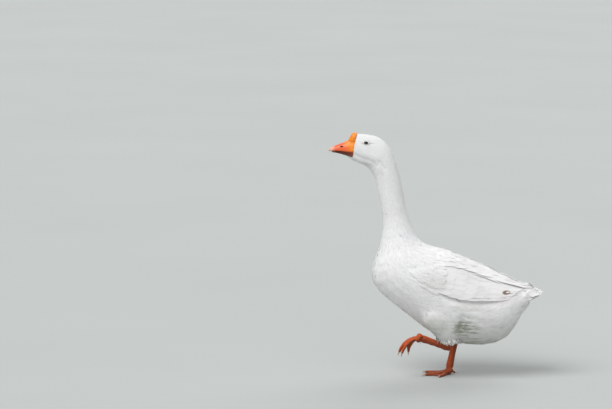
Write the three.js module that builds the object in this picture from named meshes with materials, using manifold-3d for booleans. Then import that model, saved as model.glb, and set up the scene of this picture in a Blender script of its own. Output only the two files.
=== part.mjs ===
// A white domestic goose of the Chinese type, walking: the right foot is on the ground
// and the left one is lifted. Millimetres, +Z up. The goose faces -Y and its left side is +X.
// The origin is at the floor, under the middle of the model's box.
import * as THREE from "three";
import { ParametricGeometry } from "three/addons/geometries/ParametricGeometry.js";
import { mergeVertices } from "three/addons/utils/BufferGeometryUtils.js";
import Module from "manifold-3d";

const wasm = await Module();
wasm.setup();
const { Manifold, Mesh } = wasm;

// ---------------------------------------------------------------- sizes
const GAP = 0.3; // air between neighbouring pieces
const SMOOTHING = 0.1; // how far a face may move when slivers are merged
const WELD = 1e-3; // corners nearer than this are one corner
const FLESH = { rows: 41, around: 24 }; // rings along the head, neck and trunk, and their sides
const BILL = { rows: 14, around: 18 };
const LOWER_PARTS = { rows: 9, around: 14 }; // the lower bill and the knob
const BALL = { around: 14, rows: 9 };

// A ring of a body: its back and front points in the middle plane as [y, z], its half
// width, and where it is widest, from 0 at the front to 1 at the back.
const ring = (back, front, half, widest = 0.5) => ({ back, front, half, widest });

// Head, neck and trunk, from the face to the tips of the tail coverts. The outline goes
// out to the tips of the feathers.
const BODY = {
  face: ring([-279, 730], [-293, 655], 20, 0.46),
  brow: ring([-262, 729], [-277, 644], 24, 0.5),
  eye: ring([-242, 727], [-259, 638], 27, 0.52),
  cheek: ring([-218, 721], [-247, 631], 29, 0.48),
  skull: ring([-195, 706], [-237, 620], 29.5, 0.5),
  nape: ring([-177, 681], [-229, 608], 28.5),
  throat: ring([-165, 649], [-223, 594], 28),
  neckTop: ring([-154, 614], [-219, 580], 28),
  neckHigh: ring([-145, 576], [-215, 560], 28.5),
  neckMid: ring([-138, 535], [-208, 529], 29.5),
  neckLow: ring([-129, 493], [-201, 490], 32),
  neckRoot: ring([-115, 455], [-200, 448], 38.5),
  collar: ring([-99, 422], [-206, 409], 50),
  shoulder: ring([-79, 402], [-217, 373], 66),
  crop: ring([-55, 392], [-230, 337], 82, 0.48),
  breast: ring([-26, 386], [-232, 293], 93, 0.48),
  keel: ring([4, 377], [-205, 250], 100, 0.5),
  ribs: ring([37, 364], [-159, 213], 104, 0.5),
  loin: ring([68, 349], [-108, 173], 106, 0.5),
  hip: ring([98, 334], [-53, 132], 105, 0.48),
  paunch: ring([126, 321], [6, 106], 102, 0.46),
  vent: ring([152, 307], [72, 97], 96, 0.45),
  rump: ring([176, 296], [132, 101], 86, 0.48),
  croup: ring([196, 286], [177, 126], 72, 0.52),
  tailRoot: ring([214, 279], [204, 168], 56, 0.56),
  undertail: ring([232, 276], [222, 203], 44, 0.6),
  coverts: ring([248, 275], [241, 227], 31, 0.6),
  covertTip: ring([257, 271], [254, 247], 14, 0.5),
};

// The wing lies along the trunk between two angles round each ring, counted from the
// back, in degrees. It stands proud of the trunk and is let into it.
const WING_EDGES = {
  breast: [82, 86],
  keel: [47, 97],
  ribs: [30, 99],
  loin: [23, 94],
  hip: [20, 86],
  paunch: [18, 76],
  vent: [16, 69],
  rump: [15, 66],
  croup: [14, 63],
  tailRoot: [13, 58],
  undertail: [12, 46],
  coverts: [14, 28],
};
const WING = {
  proud: 10,
  lip: 4.5,
  depth: 5,
  fullness: 0.5, // how soon the wing swells from its ends; a smaller number is sooner
  roundness: 0.6, // the same, from its two edges
  rim: 0.4, // share of the height left right at an edge
  along: 17,
  across: 7,
};

// The tail is a shallow fan, lower at its sides.
const TAIL = {
  root: ring([186, 270], [186, 232], 36),
  base: ring([212, 270], [212, 237], 47),
  middle: ring([236, 268], [236, 242], 57),
  fan: ring([256, 265], [256, 249], 59),
  ends: ring([269, 263], [269, 254.5], 46),
  tip: ring([275, 262], [275, 257], 20),
};
const TAIL_ARCH = 14; // drop of the fan's sides
const TAIL_MESH = { rows: 9, around: 16 };

const UPPER_BILL = {
  base: ring([-268, 716], [-286, 668], 19.5, 0.2),
  gape: ring([-293, 713.5], [-296, 670.5], 19, 0.16),
  culmen: ring([-309, 707], [-309, 674.5], 17.5, 0.13),
  nostril: ring([-323, 702], [-323, 677.5], 15.5, 0.13),
  bridge: ring([-337, 697], [-337, 679], 13.5, 0.16),
  front: ring([-348, 692.5], [-348, 679], 11.5, 0.2),
  nail: ring([-357, 688], [-357, 678.5], 8.5, 0.3),
  hook: ring([-362.5, 683.5], [-362.5, 676.5], 4.5, 0.5),
};
const LOWER_BILL = {
  base: ring([-280, 674], [-280, 657.5], 17, 0.7),
  gape: ring([-295, 676], [-295, 660.5], 16.5, 0.7),
  middle: ring([-310, 678], [-310, 664], 14.5, 0.72),
  front: ring([-329, 681], [-329, 669.5], 11.5, 0.75),
  tip: ring([-344, 681], [-344, 673], 8.5, 0.7),
  lip: ring([-354, 679], [-354, 674], 5, 0.6),
};
const KNOB = {
  foot: ring([-305, 708.5], [-305, 698], 5),
  front: ring([-299, 718], [-299, 694], 10),
  crest: ring([-292, 730], [-292, 692], 13.5, 0.62),
  top: ring([-284, 732.5], [-285, 692], 14.5, 0.62),
  back: ring([-271, 731], [-275, 692], 14.5, 0.6),
};
const NOSTRIL = { at: [13, -324, 692.5], half: [4, 5.5, 2.3], pitch: -14, around: 10, rows: 6 };
const EYE = { radius: 8.6, at: [20.3, -250.5, 706] };

const THIGH = { rows: 9, around: 14 };
const THIGH_LEFT = {
  line: { hip: [52, -58, 228], knee: [63, -32, 184], calf: [60, -9, 146], cuff: [55, 3, 110] },
  widths: [30, 42, 34, 21],
  depths: [42, 44, 36, 25],
};
const THIGH_RIGHT = {
  line: { hip: [-52, -34, 216], knee: [-62, -12, 172], calf: [-56, 8, 136], cuff: [-46, 18, 104] },
  widths: [30, 40, 30, 19],
  depths: [44, 50, 38, 23],
};

// Shanks run from the hock to the toe joint. Widths are across the leg and depths
// are from its front to its back, both as halves.
const SHANK = { rows: 8, around: 9, widths: [10, 7.3, 7.2, 10.5], depths: [12.5, 10, 10.2, 13] };
const LEFT_HOCK = [54, 6, 92];
const LEFT_JOINT = [60, -90, 126];
const RIGHT_HOCK = [-44, 20, 108];
const RIGHT_JOINT = [-16, 0, 11];
const ANKLE = 13; // the foot takes this much of the shank above the toe joint
const TOE_JOINT = { line: [[0, 9, 7], [0, 0, -1.5], [0, -12, -6]], half: [12, 10.5], rows: 6, around: 10 };

// Toes: length, angle outwards from the middle toe, how much further they droop when
// the foot folds, and radius at both ends.
const TOES = [
  { name: "outer", length: 76, angle: -33, droop: 5, radius: [6.6, 4.7] },
  { name: "middle", length: 82, angle: 0, droop: 0, radius: [7, 5] },
  { name: "inner", length: 64, angle: 35, droop: 17, radius: [6.4, 4.6] },
];
const TOE_MESH = { rows: 7, around: 7 };
const PADS = { swell: 0.08, count: 3, flat: 0.92 };
const HIND_TOE = {
  length: 17,
  radius: [4.2, 3.1],
  heading: 168,
  curl: -18,
  at: [3, 4, 1],
  rows: 6,
  around: 6,
};
const CLAW = {
  length: 12,
  radius: 3.1,
  tip: 0.7,
  overlap: 3, // how far it is let into the toe
  rise: 0.8,
  bend: 0.55, // where it starts to turn down
  drop: 2.6,
  flat: 0.85,
  rows: 5,
  around: 6,
};
const TOE_REST = 3.3; // height of a standing toe's middle line over the floor
const WEB = { thick: 2, start: 0.03, reach: 0.93, scoop: 0.17, drop: 1.2, rows: 5, across: 3 };

// The pose of each foot: turn about X, Y and Z, the share of the toes' spread, their
// pitch and curl in degrees, and how much of their droop is used.
const LEFT_FOOT = { turn: [18, 4, -4], spread: 0.36, pitch: -14, curl: 70, fold: 1, hindPitch: 118 };
const RIGHT_FOOT = { turn: [0, 0, 24], spread: 1.1, pitch: 15, curl: 0, fold: 0, hindPitch: 34 };

// Colour and roughness of each finish.
const FINISHES = {
  plumage: [0xf1efec, 0.85],
  flight: [0xf4f1ee, 0.85],
  knob: [0xf08a1c, 0.5],
  bill: [0xee8230, 0.5],
  lowerBill: [0xb9521c, 0.5],
  eye: [0x14100d, 0.08],
  leg: [0xc8582f, 0.5],
  claw: [0xa88c76, 0.5],
};

// ---------------------------------------------------------------- shapes
const degrees = THREE.MathUtils.degToRad;
const { lerp, clamp } = THREE.MathUtils;
const vector = (p) => new THREE.Vector3(...p);
const ACROSS = new THREE.Vector3(1, 0, 0);

// A closed geometry as a manifold-3d solid, with its faces turned outwards.
function solidOf(geometry) {
  geometry.deleteAttribute("normal");
  geometry.deleteAttribute("uv");
  const merged = mergeVertices(geometry, WELD);
  const corners = merged.index.array;
  const kept = [];
  for (let i = 0; i < corners.length; i += 3) {
    const [a, b, c] = corners.slice(i, i + 3);
    if (a !== b && b !== c && c !== a) kept.push(a, b, c);
  }
  const vertProperties = merged.attributes.position.array;
  const make = (order) =>
    new Manifold(new Mesh({ numProp: 3, vertProperties, triVerts: new Uint32Array(order) }));
  const made = make(kept);
  return made.volume() > 0 ? made : make(kept.reverse());
}

// The largest piece of a solid, without the crumbs that a cut leaves.
const largest = (solid) => solid.decompose().sort((a, b) => b.volume() - a.volume())[0];

// A solid back as a geometry, without the slivers that cuts leave.
function geometryOf(solid) {
  const mesh = largest(solid).simplify(SMOOTHING).getMesh();
  const points = new Float32Array(mesh.numVert * 3);
  for (let i = 0; i < mesh.numVert; i++) {
    points.set(mesh.vertProperties.subarray(i * mesh.numProp, i * mesh.numProp + 3), i * 3);
  }
  const geometry = new THREE.BufferGeometry();
  geometry.setAttribute("position", new THREE.BufferAttribute(points, 3));
  geometry.setIndex(new THREE.BufferAttribute(mesh.triVerts, 1));
  geometry.computeVertexNormals();
  return geometry;
}

// A smooth line through points, read at t from 0 to 1 with equal steps between points.
const lineThrough = (points) => new THREE.CatmullRomCurve3(points.map(vector), false, "centripetal");

// Pairs of numbers that change smoothly down a list, read at t from 0 to 1.
function smoothly(pairs) {
  const points = pairs.map(([a, b]) => new THREE.Vector3(a, b, 0));
  const line = new THREE.CatmullRomCurve3(points, false, "catmullrom");
  return (t) => {
    const { x, y } = line.getPoint(t);
    return [x, y];
  };
}

// The surface through named rings: (t, angle) gives a point, with the angle counted
// from the back and t from the first ring to the last.
function surfaceThrough(rings, grow = 0) {
  const list = Object.values(rings);
  const backs = lineThrough(list.map((r) => [0, ...r.back]));
  const fronts = lineThrough(list.map((r) => [0, ...r.front]));
  const girth = smoothly(list.map((r) => [r.half, r.widest]));
  return (t, angle) => {
    const back = backs.getPoint(t);
    const front = fronts.getPoint(t);
    const [half, widest] = girth(t);
    const across = back.clone().sub(front).setLength(grow);
    back.add(across);
    front.sub(across);
    const rise = Math.cos(angle);
    const share = widest + rise * (rise > 0 ? 1 - widest : widest);
    const point = front.lerp(back, share);
    point.x = (half + grow) * Math.sin(angle);
    return point;
  };
}

// A solid through rings. Each end is closed by a flat cap.
function loft(rings, { rows, around }, grow = 0, place = (p) => p) {
  const surface = surfaceThrough(rings, grow);
  const middle = (t) => surface(t, 0).add(surface(t, Math.PI)).multiplyScalar(0.5);
  const shape = (u, v, out) => {
    const row = Math.round(v * rows);
    const t = clamp((row - 1) / (rows - 2), 0, 1);
    const capped = row === 0 || row === rows;
    const angle = u * 2 * Math.PI;
    out.copy(capped ? middle(t) : surface(t, u === 1 ? 0 : angle));
    if (u === 0 || u === 1) out.x = 0;
    place(out);
  };
  return solidOf(new ParametricGeometry(shape, around, rows));
}

// A limb with blunt round ends along a curve. size(t) gives its half width and half depth.
function limb(curve, size, { rows, around }, side = ACROSS, grow = 0) {
  const bluntness = 9;
  const shape = (u, v, out) => {
    const t = (1 - Math.cos(Math.PI * v)) / 2;
    const along = curve.getTangent(t);
    const across = side.clone().addScaledVector(along, -side.dot(along)).normalize();
    const up = along.clone().cross(across);
    const [width, depth] = size(t);
    const end = Math.sqrt(Math.max(0, 1 - Math.abs(2 * t - 1) ** bluntness));
    const angle = u === 1 ? 0 : u * 2 * Math.PI;
    out.copy(curve.getPoint(t)).addScaledVector(along, grow * (2 * t - 1));
    out.addScaledVector(across, (width + grow) * end * Math.cos(angle));
    out.addScaledVector(up, (depth + grow) * end * Math.sin(angle));
  };
  return solidOf(new ParametricGeometry(shape, around, rows));
}

// Half widths and depths that change smoothly along a limb.
const taper = ({ widths, depths }) => smoothly(widths.map((w, i) => [w, depths[i]]));

// ---------------------------------------------------------------- body
const ringNames = Object.keys(BODY);
const place = (name) => ringNames.indexOf(name) / (ringNames.length - 1);
const bodySurface = surfaceThrough(BODY);
const NEAR = 0.002; // step for reading the surface's slope

// The plane of a ring, moved along the body by shift, as [normal, offset]. The normal
// points towards the tail.
function planeAt(t, shift) {
  const back = bodySurface(t, 0);
  const front = bodySurface(t, Math.PI);
  const ahead = bodySurface(t + NEAR, Math.PI / 2).sub(bodySurface(t, Math.PI / 2));
  const normal = ACROSS.clone().cross(back.sub(front)).normalize();
  if (normal.dot(ahead) < 0) normal.negate();
  return [normal, normal.dot(front) + shift];
}

// What lies behind a plane, on its tail side, and what lies before it.
const behind = (solid, t) => {
  const [normal, offset] = planeAt(t, GAP / 2);
  return solid.trimByPlane(normal.toArray(), offset);
};
const before = (solid, t) => {
  const [normal, offset] = planeAt(t, -GAP / 2);
  return solid.trimByPlane(normal.negate().toArray(), -offset);
};

const wholeBody = loft(BODY, FLESH);
const CUTS = {
  face: NEAR / 20,
  head: lerp(place("nape"), place("throat"), 0.7),
  neck: place("neckLow"),
  trunk: place("shoulder"),
  tail: lerp(place("croup"), place("tailRoot"), 0.4),
};

// ---------------------------------------------------------------- wings
const wingEdges = smoothly(Object.values(WING_EDGES));
const wingStart = place(Object.keys(WING_EDGES).at(0));
const wingEnd = place(Object.keys(WING_EDGES).at(-1));
const PER_MM = 7e-4; // a millimetre's share of the line along the body

// A point on the body's surface, raised by height along its normal.
function raised(t, angle, height) {
  const at = bodySurface(t, angle);
  const along = at.clone().sub(bodySurface(t - NEAR, angle));
  const round = bodySurface(t, angle + NEAR).sub(bodySurface(t, angle - NEAR));
  return at.addScaledVector(along.cross(round).normalize(), height);
}

// The folded wing: a shell that follows the trunk, fullest at its middle, with an
// overhanging lower edge.
function foldedWing(grow = 0) {
  const { proud, lip, depth, fullness, roundness, rim, along, across } = WING;
  const shape = (u, v, out) => {
    const slice = (1 - Math.cos(Math.PI * v)) / 2;
    const ends = v === 0 || v === 1;
    const t = lerp(wingStart, wingEnd, slice) + (ends ? (2 * slice - 1) * grow * PER_MM : 0);
    const [top, bottom] = wingEdges(slice);
    const outside = u <= 0.5 || u === 1;
    const c = u === 1 ? 0 : outside ? 2 * u : 2 - 2 * u;
    const spread = grow / 2;
    const angle = degrees(lerp(top - spread, bottom + spread, ends ? 0.5 : c));
    const swell = Math.sin(Math.PI * slice) ** fullness;
    const crown = Math.sin(Math.PI * c) ** roundness;
    const height = lerp(lip, proud, crown) * swell * (c === 0 ? rim : 1);
    out.copy(raised(t, angle, ends ? 0 : outside ? height + grow : -depth * swell - grow));
  };
  return solidOf(new ParametricGeometry(shape, 2 * across, along));
}
const mirrored = (solid) => solid.mirror([1, 0, 0]);

// ---------------------------------------------------------------- legs
const thigh = (plan, grow = 0) =>
  limb(lineThrough(Object.values(plan.line)), taper(plan), THIGH, ACROSS, grow);

function shank(hock, joint, grow = 0) {
  const middle = hock.map((x, i) => lerp(x, joint[i], 0.5));
  return limb(lineThrough([hock, middle, joint]), taper(SHANK), SHANK, ACROSS, grow);
}

// A toe's middle line in the foot's frame, whose origin is the toe joint. It starts
// at the pitch given and curls by the pitch's change, in degrees, down to the lowest z.
function toeLine(length, angle, { pitch, curl, lowest = -length }) {
  const steps = 7;
  const heading = degrees(angle);
  const points = [new THREE.Vector3(0, 0, 0)];
  for (let i = 0; i < steps; i++) {
    const dip = degrees(pitch + curl * ((i + 0.5) / steps));
    const flat = (Math.cos(dip) * length) / steps;
    const step = new THREE.Vector3(Math.sin(heading) * flat, -Math.cos(heading) * flat, 0);
    step.z = (-Math.sin(dip) * length) / steps;
    step.add(points.at(-1));
    step.z = Math.max(step.z, lowest);
    points.push(step);
  }
  return new THREE.CatmullRomCurve3(points, false, "centripetal");
}

// Pads under the toe joints swell the toe a little.
const toeSize = ([root, end]) => (t) => {
  const r = lerp(root, end, t) * (1 + PADS.swell * Math.cos(2 * Math.PI * PADS.count * t));
  return [r, r * PADS.flat];
};

// The web between two toes, a thin sheet with a scooped front edge.
function web(first, second) {
  const shape = (u, v, out) => {
    const top = u <= 0.5 || u === 1;
    const a = u === 1 ? 0 : top ? 2 * u : 2 - 2 * u;
    const reach = WEB.reach - WEB.scoop * Math.sin(Math.PI * a);
    const t = lerp(WEB.start, reach, v);
    const thick = v === 0 || v === 1 || a === 0 || a === 1 ? 0 : WEB.thick / 2;
    out.copy(first.getPoint(t)).lerp(second.getPoint(t), a);
    out.z += (top ? thick : -thick) - WEB.drop;
  };
  return solidOf(new ParametricGeometry(shape, 2 * WEB.across, WEB.rows));
}

// A claw that grows out of the end of a toe. small is its size against the outer toe's.
function clawOn(line, small, side, grow = 0) {
  const ahead = line.getTangent(1);
  const from = line.getPoint(1).addScaledVector(ahead, -CLAW.overlap);
  from.z += CLAW.rise;
  const bend = from.clone().addScaledVector(ahead, CLAW.length * CLAW.bend * small);
  const tip = from.clone().addScaledVector(ahead, CLAW.length * small);
  tip.z -= CLAW.drop;
  const size = (t) => {
    const depth = lerp(CLAW.radius, CLAW.tip, t) * small;
    return [depth * CLAW.flat, depth];
  };
  const curve = new THREE.CatmullRomCurve3([from, bend, tip], false, "centripetal");
  return limb(curve, size, CLAW, side, grow);
}

// A foot in its own frame: { foot, claws: { name: solid } }. side is 1 for the right
// foot and -1 for the left one.
function footPieces({ spread, pitch, curl, fold, lowest, hindPitch }, side) {
  const toes = TOES.map(({ name, length, angle, droop, radius }) => {
    const heading = side * spread * angle;
    const line = toeLine(length, heading, { pitch: pitch + fold * droop, curl, lowest });
    const across = vector([Math.cos(degrees(heading)), Math.sin(degrees(heading)), 0]);
    return { name, radius, line, across, mesh: TOE_MESH };
  });
  const hind = { name: "hind", radius: HIND_TOE.radius, across: ACROSS, mesh: HIND_TOE };
  hind.line = toeLine(HIND_TOE.length, side * HIND_TOE.heading, { pitch: hindPitch, curl: HIND_TOE.curl });
  const [aside, back, up] = HIND_TOE.at;
  hind.line.points.forEach((p) => p.add(vector([side * aside, back, up])));
  const [outer, middle, inner] = toes;
  const joint = limb(lineThrough(TOE_JOINT.line), () => TOE_JOINT.half, TOE_JOINT);
  let foot = joint.add(web(outer.line, middle.line)).add(web(middle.line, inner.line));
  const claws = {};
  for (const { radius, line, across, mesh } of [...toes, hind]) {
    foot = foot.add(limb(line, toeSize(radius), mesh, across));
  }
  for (const { name, radius, line, across } of [...toes, hind]) {
    const small = radius[1] / outer.radius[1];
    foot = foot.subtract(clawOn(line, small, across, GAP));
    claws[name] = clawOn(line, small, across);
  }
  return { foot, claws };
}

// ---------------------------------------------------------------- scene
const finishes = {};
for (const [name, [color, roughness]] of Object.entries(FINISHES)) {
  finishes[name] = new THREE.MeshStandardMaterial({ name, color, roughness, metalness: 0 });
}

const goose = new THREE.Group();
goose.name = "goose";
function addPiece(name, solid, finish, group = goose) {
  const mesh = new THREE.Mesh(geometryOf(solid), finishes[finish]);
  mesh.name = name;
  group.add(mesh);
}

// Legs first, because the trunk is cut to meet the thighs.
const legs = {
  left: { plan: THIGH_LEFT, hock: LEFT_HOCK, joint: LEFT_JOINT, pose: LEFT_FOOT, side: -1 },
  right: {
    plan: THIGH_RIGHT,
    hock: RIGHT_HOCK,
    joint: RIGHT_JOINT,
    pose: { ...RIGHT_FOOT, lowest: TOE_REST - RIGHT_JOINT[2] },
    side: 1,
  },
};

const wholeWing = foldedWing();
const wingCutter = foldedWing(GAP).add(wholeWing);
const wingCutters = wingCutter.add(mirrored(wingCutter));
let trunk = before(behind(wholeBody, CUTS.trunk), CUTS.tail);

for (const [name, { plan, hock, joint, pose, side }] of Object.entries(legs)) {
  const group = new THREE.Group();
  goose.add(group);
  const { foot, claws } = footPieces(pose, side);
  const turn = new THREE.Euler(...pose.turn.map(degrees), "ZYX");
  const toPlace = new THREE.Matrix4().makeRotationFromEuler(turn).setPosition(vector(joint)).elements;
  const axis = vector(joint).sub(vector(hock)).normalize();
  const cut = axis.dot(vector(joint)) - ANKLE;
  const belowCut = (solid) => solid.trimByPlane(axis.toArray(), cut + GAP / 2);
  const wholeShank = shank(hock, joint);
  let footPlaced = belowCut(foot.transform(toPlace)).add(belowCut(wholeShank));
  if (name === "right") footPlaced = footPlaced.trimByPlane([0, 0, 1], 0);
  const shankPiece = wholeShank.trimByPlane(axis.clone().negate().toArray(), -(cut - GAP / 2));
  const shankCutter = shank(hock, joint, GAP);
  trunk = trunk.subtract(thigh(plan, GAP)).subtract(shankCutter);
  const thighPiece = thigh(plan).subtract(wingCutters).subtract(shankCutter);
  addPiece(`thigh_${name}`, thighPiece, "plumage", group);
  addPiece(`shank_${name}`, shankPiece, "leg", group);
  addPiece(`foot_${name}`, footPlaced, "leg", group);
  for (const [toe, claw] of Object.entries(claws)) {
    addPiece(`claw_${name}_${toe}`, claw.transform(toPlace), "claw", group);
  }
}

const bodyGrown = loft(BODY, FLESH, GAP + SMOOTHING);
addPiece("trunk", trunk, "plumage");
addPiece("wing_left", wholeWing.subtract(bodyGrown), "flight");
addPiece("wing_right", mirrored(wholeWing).subtract(bodyGrown), "flight");

const archDown = (p) => {
  p.z -= TAIL_ARCH * (p.x / TAIL.fan.half) ** 2;
};
const fan = behind(loft(TAIL, TAIL_MESH, 0, archDown), CUTS.tail);
addPiece("tail", behind(wholeBody, CUTS.tail).add(fan.subtract(wingCutters)), "flight");
addPiece("neck_lower", before(behind(wholeBody, CUTS.neck), CUTS.trunk), "plumage");
addPiece("neck_upper", before(behind(wholeBody, CUTS.head), CUTS.neck), "plumage");

// Eyes, each a ball in a socket of the head.
const ball = (radius) => new THREE.SphereGeometry(radius, BALL.around, BALL.rows);
const socket = solidOf(ball(EYE.radius + GAP)).translate(EYE.at);
addPiece("head", before(wholeBody, CUTS.head).subtract(socket).subtract(mirrored(socket)), "plumage");
for (const [side, sign] of [["left", 1], ["right", -1]]) {
  const eye = new THREE.Mesh(ball(EYE.radius), finishes.eye);
  eye.name = `eye_${side}`;
  eye.position.set(sign * EYE.at[0], EYE.at[1], EYE.at[2]);
  goose.add(eye);
}

// The bill and the knob end at the plane of the face.
const [faceNormal, faceOffset] = planeAt(CUTS.face, -GAP);
const inFront = (solid) => solid.trimByPlane(faceNormal.clone().negate().toArray(), -faceOffset);
const hole = solidOf(new THREE.SphereGeometry(1, NOSTRIL.around, NOSTRIL.rows))
  .scale(NOSTRIL.half)
  .rotate([NOSTRIL.pitch, 0, 0])
  .translate(NOSTRIL.at);
const upperBill = loft(UPPER_BILL, BILL);
const upperBillGrown = loft(UPPER_BILL, BILL, GAP);
addPiece("bill_upper", inFront(upperBill).subtract(hole).subtract(mirrored(hole)), "bill");
addPiece("bill_lower", inFront(loft(LOWER_BILL, LOWER_PARTS).subtract(upperBillGrown)), "lowerBill");
addPiece("knob", inFront(loft(KNOB, LOWER_PARTS)).subtract(upperBillGrown), "knob");

// The origin goes to the floor, under the middle of the box.
const box = new THREE.Box3().setFromObject(goose);
const centre = box.getCenter(new THREE.Vector3());
goose.position.set(-centre.x, -centre.y, -box.min.z);

export default goose;
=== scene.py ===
import math
from functools import lru_cache

import bmesh
import bpy
import numpy as np
from bpy.props import FloatProperty, FloatVectorProperty, IntProperty, PointerProperty
from mathutils import Matrix, Vector, kdtree
from mathutils.bvhtree import BVHTree


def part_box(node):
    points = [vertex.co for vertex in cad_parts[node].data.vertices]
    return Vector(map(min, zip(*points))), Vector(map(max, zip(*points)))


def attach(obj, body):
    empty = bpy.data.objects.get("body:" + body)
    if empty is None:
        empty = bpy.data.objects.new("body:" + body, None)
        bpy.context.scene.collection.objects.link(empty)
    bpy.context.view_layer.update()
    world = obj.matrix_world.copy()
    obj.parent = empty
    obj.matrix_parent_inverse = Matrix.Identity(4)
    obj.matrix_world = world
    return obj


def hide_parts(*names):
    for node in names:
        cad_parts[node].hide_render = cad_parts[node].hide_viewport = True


bl_info = {
    "name": "Domestic Goose",
    "version": (1, 0, 0),
    "blender": (4, 5, 0),
    "location": "3D View > Sidebar > Goose",
    "description": "Builds the skin, feathers, bill, eyes and studio of a walking white goose",
    "category": "Object",
}

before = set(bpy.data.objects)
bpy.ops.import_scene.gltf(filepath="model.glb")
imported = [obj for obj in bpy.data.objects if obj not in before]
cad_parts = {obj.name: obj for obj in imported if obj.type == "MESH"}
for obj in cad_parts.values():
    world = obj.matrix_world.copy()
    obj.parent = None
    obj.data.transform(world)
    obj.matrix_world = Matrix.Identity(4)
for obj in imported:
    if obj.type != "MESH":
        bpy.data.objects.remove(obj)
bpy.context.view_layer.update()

# ---------------------------------------------------------------- places and sizes
# Places are in millimetres in the drawing's frame: x to the goose's left, y to its tail,
# z up, with y = 0 over the knees. The CAD box moves that frame to the model's own.
MM = 0.001
BILL_TIP_Y = -362.5
SHIFT = Vector((0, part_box("bill_upper")[0].y - BILL_TIP_Y * MM, 0))


def at(x, y, z):
    """A point of the drawing, in metres in the model's frame."""
    return Vector((x, y, z)) * MM + SHIFT


def unplaced(points):
    """Model points in metres, as drawing points in millimetres."""
    return (np.asarray(points) - np.array(SHIFT)) / MM


def placed(points):
    """Drawing points in millimetres, as model points in metres."""
    return np.asarray(points) * MM + np.array(SHIFT)


BODY_NODES = (
    "head", "neck_upper", "neck_lower", "trunk", "tail",
    "wing_left", "wing_right", "thigh_left", "thigh_right",
)
SIDES = (("left", 1), ("right", -1))
TOES = ("outer", "middle", "inner", "hind")

# The middle line of the head, neck and trunk: y, z, then the length and width of a
# feather and the depth of the coat there.
SPINE = np.array((
    (-286, 692, 4.0, 1.6, 0.6),
    (-250, 683, 6.5, 2.1, 0.8),
    (-215, 662, 9, 2.7, 1.0),
    (-197, 620, 12, 3.4, 1.3),
    (-183, 567, 15, 4.2, 1.6),
    (-172, 510, 18, 5.0, 1.8),
    (-160, 450, 21, 6.2, 2.2),
    (-152, 405, 24, 7.6, 2.6),
    (-143, 362, 26, 8.6, 2.9),
    (-101, 311, 28, 9.6, 3.2),
    (-22, 258, 30, 10.5, 3.3),
    (65, 211, 32, 11, 3.5),
    (120, 202, 33, 11, 3.6),
    (175, 215, 34, 11, 3.4),
    (215, 235, 36, 11, 3.0),
    (270, 259, 36, 12, 2.0),
))
THIGH_LINE = np.array(((54, -58, 228), (62, -32, 184), (59, -9, 146), (53, 10, 100)))
THIGH_FEATHER = (22, 8, 3.0)  # length, width and coat depth
WING_DEPTH = 6.0
UNDER_WING = 6.5  # depth of the hollow below a wing's lower edge
SHOULDER_END = 0.07  # how far back along the wing the body's own feathers cover it
SHOULDER_DEPTH = 0.78 * WING_DEPTH  # the depth of those feathers
RUMP_END = 214  # y where the flesh starts to narrow to the tail
TAIL_CONE = ((205, 214, 232, 248, 262), (90, 56, 44, 30, 12))  # y, and half the flesh's width there
TAIL_DRAWN_IN = 0.25  # how much of the tail's length past the rump the flesh gives up
TAIL_ROOTS = 246  # y of the last roots of the rump's feathers

BODY_SWELL = 0.0012  # the gaps between the body's CAD nodes close by growing this much
BODY_EVEN = 5  # rounds of smoothing of the whole body
THIGH_EVEN = 70  # rounds of smoothing round the thighs
THIN_SHARE = 0.3  # the coat takes at most this share of a thin place
LEG_SWELL = 0.0006  # the legs grow by this while their surface is rebuilt, so that thin webs hold
LEG_VOXEL = 0.00105
SCUTE = 0.0042  # from one scute of a toe to the next
PAD = 0.019  # from one pad under a toe to the next

# Creases and swellings of the skin: points of a line on the left side, its reach across,
# how deep it goes (a swelling is negative), and whether the right side has it too.
FOLDS = (
    (((98, 40, 196), (99, 33, 172), (96, 24, 140)), 9, 6.0, True),
    (((100, 34, 150), (98, 78, 122)), 14, 3.5, True),
    (((103, 70, 190), (100, 110, 168), (92, 140, 150)), 12, 2.5, True),
    (((30, -210, 650), (29, -192, 626)), 3.2, 3.0, True),
    (((30, -218, 643), (29, -203, 616)), 3.6, -2.2, True),
    (((20, -285, 668), (26, -262, 657), (28, -238, 650), (29, -218, 640)), 5.5, 2.6, True),
    (((24, -252, 672), (27, -236, 668), (28, -222, 662)), 8, -1.4, True),
    (((18, -278, 718), (19, -282, 700), (19, -285, 682)), 2.5, 0.7, True),
    (((20, -239, 704), (20, -222, 700)), 2.4, 0.8, True),
    (((0, 74, 331), (0, 152, 306), (0, 232, 278)), 26, -6.0, False),
)

EYE = (-250.5, 706)  # y and z of the eyes' middle
NOSTRIL = (13, -324, 692.5)  # middle of the left nostril

# The lower end of each thigh's plumage: its middle, half sizes and the way its fringe hangs.
CUFFS = {
    "left": {"middle": (56, -6, 121), "radii": (15, 34), "aim": (0, 0.45, -0.85), "slope": -0.12,
             "count": 170},
    "right": {"middle": (-46, 17, 106), "radii": (13, 16), "aim": (0, 0.1, -1), "slope": 0, "count": 90},
}

# The lids' opening, and their rings from the rim outwards and round the back: a ring's size
# against the opening, and how far it stands out from the eyeball's middle, or None where it
# lies on the eyeball.
LID_HALF = (5.5, 3.9)
LID_REACH = 2.6  # how much further the outer rings go
LID_TILT = 0.12  # how far the opening drops towards the bill
LID_CLEAR = 1.22  # no feather grows within this size of the opening
LID_SIDE = 15  # x beyond which that holds
PLUG_RADIUS = 0.0094  # of the ball that closes the socket behind each eyeball
PLUG_INSET = 0.0042  # how much deeper than the eyeball it lies
LID_RINGS = (
    (1.0, None), (1.03, 7.5), (1.10, 7.7), (1.18, 7.2), (1.30, 6.2),
    (1.6, 4.6), (1.9, 2.5), (1.7, 0.5), (1.1, 0.5),
)


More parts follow.
